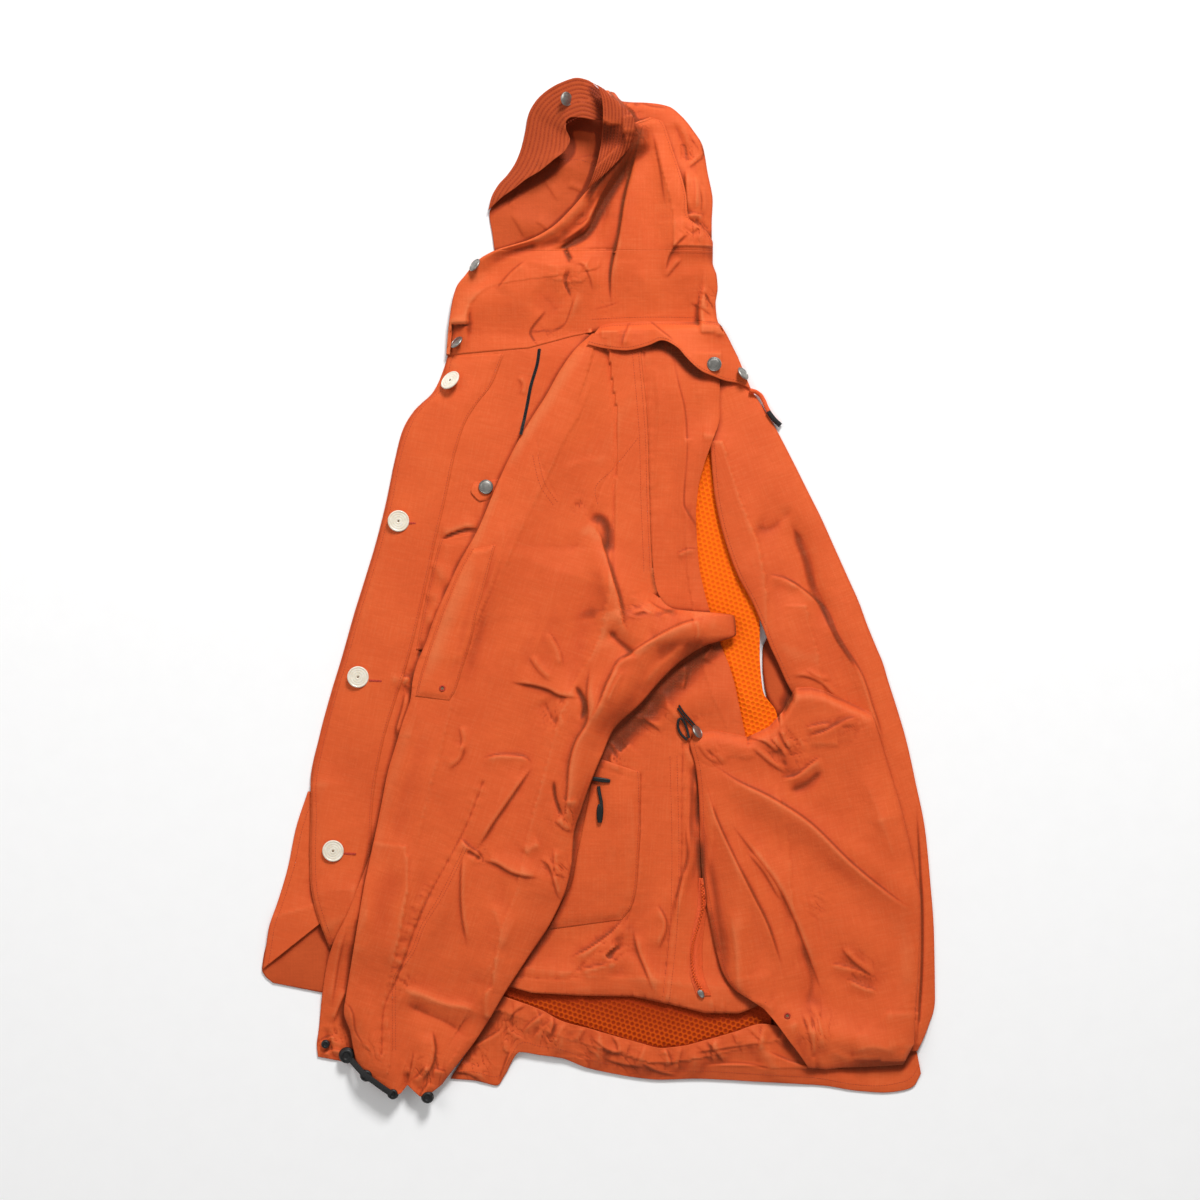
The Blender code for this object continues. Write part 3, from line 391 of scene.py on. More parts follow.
def horn_finish(name, body, streak):
    """Polished horn or shell: cream with faint streaks and a soft coat."""
    made, tree, shader = new_material(name)
    vector = own_vector(tree, "Object")
    cloud = noise_node(tree, vector, 160.0, 4.0, 0.6)
    fleck = noise_node(tree, vector, 900.0, 2.0)
    colour = mix_colour(tree, ramp(tree, cloud, 0.35, 0.7), body, streak)
    link(tree, colour, shader.inputs["Base Color"])
    link(tree, math_node(tree, "MULTIPLY_ADD", fleck, 0.15, 0.25), shader.inputs["Roughness"])
    shader.inputs["Subsurface Weight"].default_value = 0.12
    shader.inputs["Subsurface Radius"].default_value = (0.004, 0.003, 0.002)
    shader.inputs["Coat Weight"].default_value = 0.25
    return made


def steel_finish(name, colour):
    """Brushed nickel with fine scratches and worn spots."""
    made, tree, shader = new_material(name)
    vector = own_vector(tree, "Object")
    brush = noise_node(tree, vector, 1600.0, 3.0)
    spots = noise_node(tree, vector, 260.0, 3.0)
    dull = tuple(0.7 * c for c in colour)
    link(tree, mix_colour(tree, ramp(tree, spots, 0.4, 0.65), colour, dull),
        shader.inputs["Base Color"])
    shader.inputs["Metallic"].default_value = 0.9
    link(tree, math_node(tree, "MULTIPLY_ADD", brush, 0.25, 0.34), shader.inputs["Roughness"])
    bump = tree.nodes.new("ShaderNodeBump")
    bump.inputs["Strength"].default_value = 0.2
    bump.inputs["Distance"].default_value = 0.0001
    link(tree, brush, bump.inputs["Height"])
    link(tree, bump.outputs["Normal"], shader.inputs["Normal"])
    return made


def moulded_finish(name, colour):
    """Moulded black plastic: a satin skin with a fine spark texture."""
    made, tree, shader = new_material(name)
    vector = own_vector(tree, "Object")
    grain = noise_node(tree, vector, 2600.0, 2.0)
    cloud = noise_node(tree, vector, 220.0, 3.0)
    worn = tuple(c + 0.006 for c in colour)
    shader.inputs["Specular IOR Level"].default_value = 0.35
    link(tree, mix_colour(tree, cloud, colour, worn), shader.inputs["Base Color"])
    link(tree, math_node(tree, "MULTIPLY_ADD", grain, 0.2, 0.34), shader.inputs["Roughness"])
    bump = tree.nodes.new("ShaderNodeBump")
    bump.inputs["Strength"].default_value = 0.25
    bump.inputs["Distance"].default_value = 0.0001
    link(tree, grain, bump.inputs["Height"])
    link(tree, bump.outputs["Normal"], shader.inputs["Normal"])
    return made


def floor_finish():
    """White paper sweep with the faintest tooth."""
    made, tree, shader = new_material("studio_paper")
    grain = noise_node(tree, own_vector(tree, "Object"), 40.0, 2.0)
    colour = mix_colour(tree, grain, (0.93, 0.93, 0.93), (0.96, 0.96, 0.96))
    link(tree, colour, shader.inputs["Base Color"])
    shader.inputs["Roughness"].default_value = 0.9
    return made


FINISHES = {}


def make_finishes():
    # glint is the colour of the painted highlight and sheen; shade is that of the painted shade and of the
    # random mottle.
    body, shade, glint = (0.73, 0.112, 0.026), (0.50, 0.048, 0.010), (0.76, 0.25, 0.095)
    FINISHES["shell"] = nylon_finish("orange_nylon", body, shade, glint)
    # Painted shade: the inner finish is a darker copy of the shell, for the cloth inside the hood and under
    # the other layers.
    dark_body, dark_shade = tuple(0.78 * c for c in body), tuple(0.72 * c for c in shade)
    FINISHES["inner"] = nylon_finish("orange_nylon_inner_shaded", dark_body, dark_shade, body, 0.65)
    # Painted shade: the quilted brims are a darker copy again.
    quilt_body, quilt_shade = tuple(0.60 * c for c in body), tuple(0.46 * c for c in shade)
    FINISHES["quilt"] = nylon_finish("orange_nylon_quilted_shaded", quilt_body, quilt_shade, body, 0.62)
    FINISHES["thread"] = thread_finish("orange_thread", (0.60, 0.075, 0.02))
    # The net's deep colour is painted shade in its holes; the second net is a darker copy, painted shade
    # for the net under the hem.
    FINISHES["net"] = net_finish("net_lining", (1.0, 0.17, 0.001), (0.80, 0.09, 0.001))
    FINISHES["net_shaded"] = net_finish("net_lining_shaded", (0.64, 0.078, 0.0008), (0.27, 0.016, 0.0004))
    FINISHES["tape"] = thread_finish("zip_tape", (1.0, 0.105, 0.010), 1500.0)
    FINISHES["teeth"] = moulded_finish("orange_teeth", (0.90, 0.12, 0.008))
    FINISHES["horn"] = horn_finish("cream_horn", (0.83, 0.77, 0.65), (0.70, 0.62, 0.49))
    FINISHES["steel"] = steel_finish("snap_nickel", (0.33, 0.315, 0.29))
    FINISHES["eye"] = thread_finish("button_thread", (0.24, 0.13, 0.06), 2500.0)
    FINISHES["hole"] = thread_finish("buttonhole_thread", (0.58, 0.040, 0.010), 2000.0)
    FINISHES["black"] = moulded_finish("black_plastic", (0.006, 0.006, 0.006))
    FINISHES["braid"] = thread_finish("black_braid", (0.008, 0.008, 0.008), 1300.0, 0.75)


# ---------------------------------------------------------------- the plan and its height map
def to_world(across, down, height):
    """Plan and height in mm, to metres about the jacket's middle."""
    return np.stack([across - MIDDLE[0], MIDDLE[1] - down, height], -1) * MM


def read_map(field, across, down):
    """The map's value at plan points, by linear mixing of the four nearest cells."""
    i = np.clip(down / CELL, 0, SIDE - 1.001)
    j = np.clip(across / CELL, 0, SIDE - 1.001)
    i0, j0 = i.astype(int), j.astype(int)
    fi, fj = i - i0, j - j0
    upper = field[i0, j0] * (1 - fj) + field[i0, j0 + 1] * fj
    lower = field[i0 + 1, j0] * (1 - fj) + field[i0 + 1, j0 + 1] * fj
    return upper * (1 - fi) + lower * fi


def spread(field, reach):
    """The greatest value within reach of each cell, in a square, one axis at a time."""
    steps = max(1, math.ceil(reach / CELL))
    for axis in (0, 1):
        best = field.copy()
        for k in range(1, steps + 1):
            for turn in (k, -k):
                best = np.maximum(best, np.roll(field, turn, axis))
        field = best
    return field


def soften(field, reach):
    """The mean within reach of each cell, one axis at a time, from running sums."""
    steps = max(1, round(reach / CELL))
    for axis in (0, 1):
        pads = [(0, 0), (0, 0)]
        pads[axis] = (steps + 1, steps)
        sums = np.cumsum(np.pad(field, pads, mode="edge"), axis)
        span = 2 * steps + 1
        low, high = [slice(None)] * 2, [slice(None)] * 2
        low[axis], high[axis] = slice(0, -span), slice(span, None)
        field = (sums[tuple(high)] - sums[tuple(low)]) / span
    return field


class Pile:
    """The height of what is already laid down, cell by cell."""

    def __init__(self):
        self.top = np.zeros((SIDE, SIDE))

    def rest(self, reach, slope):
        """Where cloth can lie: above all within reach, with soft slopes."""
        least = spread(self.top, reach)
        least = np.where(least > 0, least + REST_GAP, 0.0)
        soft = least
        for _ in range(6):
            soft = np.maximum(soften(soft, slope), least)
        return np.where(soft > 0.2, soft, 0.0)

    def lay(self, across, down, height):
        """Adds a lattice of points, filled in between them."""
        a, d, h = (refine(refine(v, 3).T, 3).T for v in (across, down, height))
        i = np.clip(np.rint(d / CELL), 0, SIDE - 1).astype(int)
        j = np.clip(np.rint(a / CELL), 0, SIDE - 1).astype(int)
        np.maximum.at(self.top, (i, j), h)


def refine(rows, parts):
    """The same lattice with `parts` straight steps between neighbouring rows."""
    count = (len(rows) - 1) * parts + 1
    place = np.linspace(0, len(rows) - 1, count)
    low = np.minimum(place.astype(int), len(rows) - 2)
    mix = (place - low)[:, None]
    return rows[low] * (1 - mix) + rows[low + 1] * mix


def smooth_through(values, places):
    """Cubic curve through evenly numbered values, that never swings past them."""
    values = np.asarray(values, float)
    step = np.diff(values, axis=0)
    before = np.vstack([step[:1], step])
    after = np.vstack([step, step[-1:]])
    same = (before * after) > 0
    slope = np.where(same, 2 * before * after / np.where(same, before + after, 1), 0)
    low = np.clip(np.floor(places).astype(int), 0, len(values) - 2)
    t = (places - low)[:, None]
    p0, p1, m0, m1 = values[low], values[low + 1], slope[low], slope[low + 1]
    return (
        (2 * t**3 - 3 * t**2 + 1) * p0
        + (t**3 - 2 * t**2 + t) * m0
        + (3 * t**2 - 2 * t**3) * p1
        + (t**3 - t**2) * m1
    )


def lattice(sections, rows, columns, head=None, foot=None):
    """Plan points of a piece: rows along it, columns from its left edge to its right.

    sections: (left across, left down, right across, right down), one row for each section.
    head, foot: (share of the width, how far the first or last edge lies below a straight line).
    """
    places = np.linspace(0, len(sections) - 1, rows + 1)
    edges = smooth_through([s[:4] for s in sections], places)
    share = np.linspace(0, 1, columns + 1)
    across = edges[:, :1] * (1 - share) + edges[:, 2:3] * share
    down = edges[:, 1:2] * (1 - share) + edges[:, 3:4] * share
    run = np.linspace(0, 1, rows + 1)[:, None]
    for table, weight in ((head, np.clip(1 - run * 3, 0, 1)), (foot, np.clip(run * 3 - 2, 0, 1))):
        if table:
            share_at, drop = zip(*table)
            down = down + np.interp(share, share_at, drop) * weight
    return across, down, np.broadcast_to(share, across.shape)


# ---------------------------------------------------------------- folds, creases, crumple
def gradient_noise(across, down, seed):
    """Perlin noise: random slopes at whole numbers, mixed by a quintic ease. About -1 to 1."""
    knots = 64
    angle = np.random.default_rng(seed).uniform(0, 2 * np.pi, (knots, knots))
    i0, j0 = np.floor(down).astype(int), np.floor(across).astype(int)
    fi, fj = down - i0, across - j0
    ease_i, ease_j = (f * f * f * (f * (f * 6 - 15) + 10) for f in (fi, fj))
    corner = []
    for di in (0, 1):
        for dj in (0, 1):
            turn = angle[(i0 + di) % knots, (j0 + dj) % knots]
            corner.append(np.cos(turn) * (fj - dj) + np.sin(turn) * (fi - di))
    upper = corner[0] * (1 - ease_j) + corner[1] * ease_j
    lower = corner[2] * (1 - ease_j) + corner[3] * ease_j
    return 1.5 * (upper * (1 - ease_i) + lower * ease_i)


def bumps(folds, across, down):
    """Height of the large folds: each is a bump along a bent line, fading at its ends.

    folds: (start across, start down, bend across, bend down, end across, end down, width, height).
    """
    total = np.zeros_like(across)
    for a0, d0, a1, d1, a2, d2, width, height in folds:
        t = np.linspace(0, 1, 13)
        line_a = (1 - t) ** 2 * a0 + 2 * t * (1 - t) * a1 + t**2 * a2
        line_d = (1 - t) ** 2 * d0 + 2 * t * (1 - t) * d1 + t**2 * d2
        gap, place, _ = beside(line_a, line_d, across, down)
        fade = np.sin(np.pi * (0.12 + 0.76 * place))
        total += height * fade * np.exp(-((gap / (0.5 * width)) ** 2))
    return total


def beside(line_a, line_d, across, down):
    """Distance from a line of points, share of the way along it, and which side.

    The side is -1 to the left of the line (or above a level one) and 1 to the right (or below).
    """
    steps_a, steps_d = np.diff(line_a), np.diff(line_d)
    length = np.hypot(steps_a, steps_d)
    before = np.concatenate([[0], np.cumsum(length)])
    best = np.full(across.shape, 1e9)
    place = np.zeros(across.shape)
    side = np.ones(across.shape)
    turn = np.sign((line_d[-1] - line_d[0]) - 0.4 * (line_a[-1] - line_a[0])) or 1.0
    for k in range(len(steps_a)):
        ua, ud = steps_a[k] / length[k], steps_d[k] / length[k]
        ra, rd = across - line_a[k], down - line_d[k]
        t = np.clip(ra * ua + rd * ud, 0, length[k])
        gap = np.hypot(ra - t * ua, rd - t * ud)
        near = gap < best
        best = np.where(near, gap, best)
        place = np.where(near, (before[k] + t) / before[-1], place)
        side = np.where(near, np.sign(ra * ud - rd * ua) * turn, side)
    return best, place, side


def smooth_line(points, step=5.0):
    """Points every few mm along a smooth curve through (across, down) points."""
    points = np.asarray(points, float).reshape(-1, 2)
    if len(points) == 2:
        points = np.array([points[0], points.mean(0), points[1]])
    rough = np.hypot(*np.diff(points, axis=0).T).sum()
    count = max(6, int(rough / step))
    spots = catmull(points, np.linspace(0, len(points) - 1, count + 1))
    return spots[:, 0], spots[:, 1]


def catmull(points, places):
    """Catmull-Rom curve through evenly numbered points."""
    padded = np.vstack([2 * points[0] - points[1], points, 2 * points[-1] - points[-2]])
    low = np.clip(np.floor(places).astype(int), 0, len(points) - 2)
    t = (places - low)[:, None]
    p0, p1, p2, p3 = (padded[low + k] for k in range(4))
    return 0.5 * (
        2 * p1 + (p2 - p0) * t + (2 * p0 - 5 * p1 + 4 * p2 - p3) * t**2
        + (3 * p1 - p0 - 3 * p2 + p3) * t**3
    )


def local_to(line_a, line_d, across, down, reach):
    """Which lattice points lie in the box about a line."""
    return (
        (across > line_a.min() - reach) & (across < line_a.max() + reach)
        & (down > line_d.min() - reach) & (down < line_d.max() + reach)
    )


def faded(place):
    """1 along the middle of a line and softly 0 at both of its ends."""
    fade = np.clip(place / 0.25, 0, 1) * np.clip((1 - place) / 0.25, 0, 1)
    return np.where((place <= 0) | (place >= 1), 0, fade * fade * (3 - 2 * fade))


def creased(creases, across, down):
    """Height and painted shadow of the creases, each a ridge or trough along its own line.

    creases: (height, width on the left or upper side, width on the right or lower side, points...).
    A narrow side against a wide one reads as cloth folded over: its foot gets a thin line of painted
    shadow.
    """
    total, shadow = np.zeros_like(across), np.zeros_like(across)
    for height, left, right, *points in creases:
        line_a, line_d = smooth_line(points)
        local = local_to(line_a, line_d, across, down, 2.4 * max(left, right) + 3)
        if not local.any():
            continue
        gap, place, side = beside(line_a, line_d, across[local], down[local])
        width = np.where(side > 0, right, left)
        fade = faded(place)
        profile = np.exp(-((gap / width) ** np.where(width > 5, 1.15, 1.8)))
        total[local] += FOLD_SCALE * height * fade * profile
        narrow = min(left, right)
        if narrow <= 3:
            foot = gap * side * (1 if right <= left else -1) - narrow * (1.0 if height > 0 else 0.0)
            shadow[local] += np.clip(abs(height) / 3.0, 0.4,
                1.3) * fade**0.6 * np.exp(-((foot / 1.25) ** 2))
    return total, shadow


def paint_light_bands(streaks, across, down):
    """Soft bands of painted highlight (above 0) or painted shade (below 0): (strength, width, points...).
    """
    total = np.zeros_like(across)
    for strength, width, *points in streaks:
        line_a, line_d = smooth_line(points)
        local = local_to(line_a, line_d, across, down, 2.4 * width)
        if local.any():
            gap, place, _ = beside(line_a, line_d, across[local], down[local])
            total[local] += strength * faded(place) * np.exp(-((gap / width) ** 2))
    return total


def crumple(spots, across, down, seed):
    """Height and painted shadow of the small sharp wrinkles in some places.

    spots: (across, down, reach, height, direction in degrees on the plan, wrinkle length, width).
    Each is smooth noise with thin cracks where a second noise crosses zero, stretched along its
    direction, under a soft round mask.
    """
    total, shadow = np.zeros_like(across), np.zeros_like(across)
    for number, (a0, d0, reach, height, direction, length, width) in enumerate(spots):
        local = (abs(across - a0) < 2 * reach) & (abs(down - d0) < 2 * reach)
        if not local.any():
            continue
        a, d = across[local] - a0, down[local] - d0
        c, s = math.cos(math.radians(direction)), math.sin(math.radians(direction))
        along, over = (a * c + d * s) / (1.6 * length), (d * c - a * s) / (1.5 * width)
        bend = 0.8 * gradient_noise(along * 1.1 + 5, over * 0.6 + 9, seed + number)
        crack = gradient_noise(along + 21 + bend, over + 33 + bend, seed + 50 + number)
        facet = gradient_noise(along * 1.2 + 3, over * 0.8 + 17 + bend, seed + 90 + number)
        mask = np.exp(-((np.hypot(a, d) / reach) ** 2) * 1.5)
        line = np.exp(-((crack / 0.09) ** 2))
        total[local] += height * mask * (0.55 * facet + 0.5 * np.clip(crack, -0.5,
            0.5) - 0.35 * line)
        shadow[local] += 0.55 * mask * line * np.clip(height / 1.5, 0.5, 1.2)
    return total, shadow


def waves(across, down, seed, broad, fine):
    """The cloth's own unevenness: slow swells and faint drag lines."""
    slow = gradient_noise(across / 58 + seed, down / 74, seed)
    small = gradient_noise(across / 21, down / 27 + seed, seed + 1)
    tiny = gradient_noise(across / 9 + seed, down / 12, seed + 2)
    return broad * slow + fine * small + 0.35 * fine * tiny


def seamed(seams, across, down, seed):
    """Seams: a narrow groove, a band of doubled cloth beside it, and small puckers.

    seams: (band width, side of the band, groove depth, pucker height, points...).
    """
    total = np.zeros_like(across)
    for band, way, groove, pucker, *points in seams:
        line_a, line_d = smooth_line(points)
        reach = band + 14
        local = (
            (across > line_a.min() - reach) & (across < line_a.max() + reach)
            & (down > line_d.min() - reach) & (down < line_d.max() + reach)
        )
        if not local.any():
            continue
        gap, place, side = beside(line_a, line_d, across[local], down[local])
        inside = (place > 0) & (place < 1)
        total[local] -= np.where(inside, groove * np.exp(-((gap / 1.3) ** 2)), 0)
        if band:
            signed = gap * side * way
            raised = np.clip(signed + 0.5, 0, 1) * np.clip((band - signed) / 1.2, 0, 1)
            total[local] += np.where(inside, 0.45 * raised, 0)
        length = np.hypot(np.diff(line_a), np.diff(line_d)).sum()
        ripple = gradient_noise(place * length / 6.5, gap / 30 + seed, seed + 7)
        total[local] += np.where(inside, pucker * ripple * np.exp(-((gap / 7) ** 2)), 0)
    return total


# ---------------------------------------------------------------- meshes
def finish_piece(thing, finish, *nodes):
    """Gives a piece its material, its body and the solids that it stands for."""
    thing.data.materials.append(FINISHES[finish])
    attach(thing, "root")
    if nodes:
        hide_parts(*nodes)
    return thing


def mesh_object(name, points, quads, smooth=True):
    """An object of points and faces (arrays), linked to the scene."""
    mesh = bpy.data.meshes.new(name)
    points = np.ascontiguousarray(points, np.float32).reshape(-1, 3)
    quads = np.ascontiguousarray(quads, np.int32)
    per = quads.shape[1]
    mesh.vertices.add(len(points))
    mesh.vertices.foreach_set("co", points.ravel())
    mesh.loops.add(quads.size)
    mesh.loops.foreach_set("vertex_index", quads.ravel())
    mesh.polygons.add(len(quads))
    mesh.polygons.foreach_set("loop_start", np.arange(0, quads.size, per, dtype=np.int32))
    mesh.update(calc_edges=True)
    mesh.validate()
    if smooth:
        mesh.shade_smooth()
    thing = bpy.data.objects.new(name, mesh)
    bpy.context.scene.collection.objects.link(thing)
    return thing


def grid_quads(rows, columns, closed=False):
    """Faces of a lattice of points, rows by columns; closed joins the last column to the first."""
    wide = columns if closed else columns + 1
    i, j = np.meshgrid(np.arange(rows), np.arange(columns), indexing="ij")
    after = (j + 1) % wide
    quads = np.stack([i * wide + j, (i + 1) * wide + j, (i + 1) * wide + after, i * wide + after],
        -1)
    return quads.reshape(-1, 4)


def set_uv(mesh, across, down, turn):
    """UV map in metres on the plan, turned so that the warp runs along the piece."""
    c, s = math.cos(math.radians(turn)), math.sin(math.radians(turn))
    u, v = (across * c + down * s) * MM, (down * c - across * s) * MM
    corner = np.empty(len(mesh.loops), np.int32)
    mesh.loops.foreach_get("vertex_index", corner)
    layer = mesh.uv_layers.new(name="UVMap")
    both = np.stack([u.ravel()[corner], v.ravel()[corner]], -1).astype(np.float32)
    layer.data.foreach_set("uv", both.ravel())


# The fold attribute carries the painted light: above 0 a painted highlight, below 0 painted shade; on the
# net, its strands times their painted shade.
def set_fold(mesh, values):
    made = mesh.attributes.new("fold", "FLOAT", "POINT")
    made.data.foreach_set("value", np.ascontiguousarray(values, np.float32).ravel())


LAID = []


def turned_under(across, down, height, drop, closed=False):
    """The lattice with its rim turned under: the edge again, lower by `drop`, then a strip back inside."""
    count = [len(across), across.shape[1]]
    tuck = 3 if min(count) > 40 else 1
    whole = [np.concatenate([[min(tuck, n - 1), 0], np.arange(n),
        [n - 1, max(n - 1 - tuck, 0)]]) for n in count]
    edge = [np.clip(np.arange(-2, n + 2), 0, n - 1) for n in count]
    if closed:
        whole[1] = edge[1] = np.arange(count[1])
    inner = [(np.arange(len(w)) < 2) | (np.arange(len(w)) >= len(w) - 2) for w in whole]
    if closed:
        inner[1][:] = False
    lower = inner[0][:, None] | inner[1][None, :]
    pick = np.ix_(*whole)
    return across[pick], down[pick], height[np.ix_(*edge)] - drop * lower, edge


def cloth_mesh(name, across, down, height, fold, wall, turn, finish, nodes, closed=False):
    """A sheet of cloth as an object, its rim turned under to show its thickness."""
    a, d, h, edge = turned_under(across, down, height, wall, closed)
    shown = fold[np.ix_(*edge)]
    thing = mesh_object(name, to_world(a, d, h), grid_quads(len(a) - 1, a.shape[1] - 1))
    set_uv(thing.data, a, d, turn)
    set_fold(thing.data, shown)
    LAID.append((thing, a, d, h, shown, finish))
    return finish_piece(thing, finish, *nodes)


def shade_hollows(pile):
    """Paints shade on cloth that lies deep beside higher cloth, by how far its surroundings stand above it:
    the fold attribute is lowered, the net's is dimmed.
    """
    around = soften(spread(pile.top, HOLLOW_REACH[0]), HOLLOW_REACH[1])
    for thing, a, d, h, shown, finish in LAID:
        depth = read_map(around, a, d - HOLLOW_SHIFT) - h - HOLLOW_FREE
        lack = HOLLOW_SHARE * np.clip(depth, 0, HOLLOW_MOST)
        value = shown * (1 - lack / NET_DIM) if finish == "net" else shown - lack
        layer = thing.data.attributes["fold"]
        layer.data.foreach_set("value", np.ascontiguousarray(value, np.float32).ravel())


def standing_out(height, steps=5):
    """How far each point of a lattice stands above the mean about it, mm."""
    total = height.copy()
    for axis in (0, 1):
        sides = [(steps, steps) if a == axis else (0, 0) for a in (0, 1)]
        padded = np.pad(total, sides, mode="edge")
        span = 2 * steps + 1
        parts = [np.take(padded, range(k, k + height.shape[axis]), axis) for k in range(span)]
        total = sum(parts) / span
    return height - total


def sharpness(height):
    """How far each point stands above its near and its wider surroundings, added up."""
    return standing_out(height) + 1.5 * standing_out(height, 2)


def hex_strands(across, down, pitch=5.2, turn=18.0):
    """A honeycomb's strands: 1 on the edges of six-sided cells, 0 in their middles.

    The distance to a cell's edge is half the pitch less the largest of the three slanted distances
    from the nearest cell middle; the strand is a bell curve of it.
    """
    c, s = math.cos(math.radians(turn)), math.sin(math.radians(turn))
    x, y = across * c + down * s, down * c - across * s
    tall = pitch * math.sqrt(3)
    best = None
    for shift in (0.0, 0.5):
        u = (x / pitch + shift) % 1.0 * pitch - pitch / 2
        v = (y / tall + shift) % 1.0 * tall - tall / 2
        far = np.maximum(abs(u), abs(u) / 2 + abs(v) * math.sqrt(3) / 2)
        best = far if best is None else np.minimum(best, far)
    return np.exp(-(((pitch / 2 - best) / 0.85) ** 2))


class Cloth:
    """A laid piece: its lattice on the plan and its top height; its thing is left as None."""

    def __init__(self, across, down, height):
        self.across, self.down, self.height = across, down, height
        self.thing = None

    def height_at(self, across, down):
        """Height at plan points: the nearest lattice point, tilted by its own slopes."""
        a, d, h = self.across.ravel(), self.down.ravel(), self.height.ravel()
        slope_a, slope_d = self.slopes()
        result = np.empty(len(across))
        for start in range(0, len(across), 200):
            part = slice(start, start + 200)
            gap = (a - across[part, None]) ** 2 + (d - down[part, None]) ** 2
            near = gap.argmin(1)
            result[part] = (
                h[near] + slope_a.ravel()[near] * (across[part] - a[near])
                + slope_d.ravel()[near] * (down[part] - d[near])
            )
        return result

    def slopes(self):
        """Change of height per mm across and down, from the lattice's own two directions."""
        ha, hb = np.gradient(self.height)
        aa, ab = np.gradient(self.across)
        da, db = np.gradient(self.down)
        area = aa * db - ab * da
        area = np.where(abs(area) < 1e-6, 1e-6, area)
        return np.clip((ha * db - hb * da) / area, -2, 2), np.clip((aa * hb - ab * ha) / area, -2,
            2)


def rim_gap(across, down, share, sides):
    """Distance from the nearest of the named sides (l, r, t, b) at each point of a lattice, mm."""
    width = np.hypot(across[:, -1] - across[:, 0], down[:, -1] - down[:, 0])[:, None]
    rows = np.hypot(np.diff(across, axis=0), np.diff(down, axis=0))
    run = np.vstack([np.zeros((1, across.shape[1])), np.cumsum(rows, 0)])
    far = np.full(across.shape, 1e6)
    nearest = {"l": share * width, "r": (1 - share) * width, "t": run, "b": run[-1:] - run}
    return np.minimum.reduce([nearest[side] for side in sides]) if sides else far


def lay_cloth(
    pile, name, sections, spacing=2.2, slack=2.0, puff=12.0, sides="lrtb", folds=(), creases=(),
    seams=(), spots=(), lifts=None, head=None, foot=None, reach=6.0, slope=8.0, broad=0.7,
    fine=0.28, wall=WALL, edge=0.5, turn=0.0, finish="shell", seed=None,
    quilt=None, roll=None, parts=None, sunk="", dip=-0.35, sink=7.0, weft=None, streaks=(),
):
    """A piece of cloth laid on the pile: its height is the pile's rest plus slack, lifts and relief."""
    seed = sum(map(ord, name)) % 97 if seed is None else seed
    table = np.array([s[:4] for s in sections], float)
    middle = np.stack([table[:, [0, 2]].mean(1), table[:, [1, 3]].mean(1)], -1)
    length = np.hypot(*np.diff(middle, axis=0).T).sum()
    width = np.hypot(table[:, 2] - table[:, 0], table[:, 3] - table[:, 1]).max()
    rows, columns = max(4, round(length / spacing)), max(3, round(width / spacing))
    across, down, share = lattice(sections, rows, columns, head, foot)
    under = read_map(pile.rest(reach, slope), across, down)
    ease = 1 - np.exp(-rim_gap(across, down, share, sides) / puff)
    raised = slack * ease + bumps(folds, across, down) * np.maximum(ease, 0.15)
    ridge, dark = creased(creases, across, down)
    crack, crack_shadow = crumple(spots, across, down, seed)
    raised = raised + ridge * np.maximum(ease, 0.35) + crack + seamed(seams, across, down, seed)
    raised = raised + waves(across, down, seed, broad, fine) * ease
    wide = np.hypot(across[:, -1] - across[:, 0], down[:, -1] - down[:, 0])[:, None]
    if lifts:
        rim = smooth_through(lifts, np.linspace(0, len(lifts) - 1, rows + 1))
        if roll:
            raised = raised + rim[:, :1] * np.exp(-((share * wide / roll) ** 2))
        else:
            raised = raised + rim[:, :1] * (1 - share) + rim[:, 1:2] * share
    if quilt:
        pitch, depth = quilt
        beyond = (share * wide + 0.35 * pitch) / pitch
        groove = np.exp(-(((beyond - np.rint(beyond)) * pitch / 0.9) ** 2))
        raised = raised - depth * groove
    if weft is not None:
        strand = hex_strands(across, down)
        raised = raised + 0.8 * strand
    height = under + np.logaddexp(2 * raised, 0) / 2 + wall + edge
    if sunk:
        below = read_map(pile.top, across, down)
        near = np.exp(-((rim_gap(across, down, share, sunk) / sink) ** 2)) * np.clip(below - 1.5, 0,
            1)
        height = height * (1 - near) + (below - dip) * near
    pile.lay(across, down, height)
    piece = Cloth(across, down, height)
    # Painted light: a painted highlight where the cloth stands out, painted shade where it lies low,
    # painted shadow at crease feet and in crumple cracks, and the bands of painted light.
    fold = sharpness(height) - SHADOW * (dark + crack_shadow) + paint_light_bands(streaks, across, down)
    # Painted shade in the quilt's grooves.
    if quilt:
        fold = fold - 1.6 * groove
    # On the net, the strands times weft, which is painted shade for the hem net under the hem.
    if weft is not None:
        fold = strand * weft(across, down, share)
    for label, start, end in parts or ((name, 0, len(sections) - 1),):
        first, last = (round(v * rows / (len(sections) - 1)) for v in (start, end))
        cut = slice(first, last + 1)
        thing = cloth_mesh(
            label, across[cut], down[cut], height[cut], fold[cut], wall, turn, finish,
            (label.removesuffix("_cloth"),),
        )
        state_cut(across[cut], down[cut], height[cut])
    return piece


def state_cut(across, down, height):
    """Measures a sheet's flat cut along the cloth as it lies: greatest width, length and area; nothing is
    kept.

    A sheet that fills less than LEAST_FILL of its rectangle is taken as narrower than it measures.
    """
    points = np.stack([across, down, height], -1)
    along, over = np.diff(points, axis=0), np.diff(points, axis=1)
    width, length = np.linalg.norm(over, axis=2).sum(1).max(), np.linalg.norm(along,
        axis=2).sum(0).max()
    area = np.linalg.norm(np.cross(along[:, :-1], over[:-1]), axis=2).sum()
    width = min(width, area / (LEAST_FILL * length))


# ---------------------------------------------------------------- sewing
STITCH_SPOTS = []


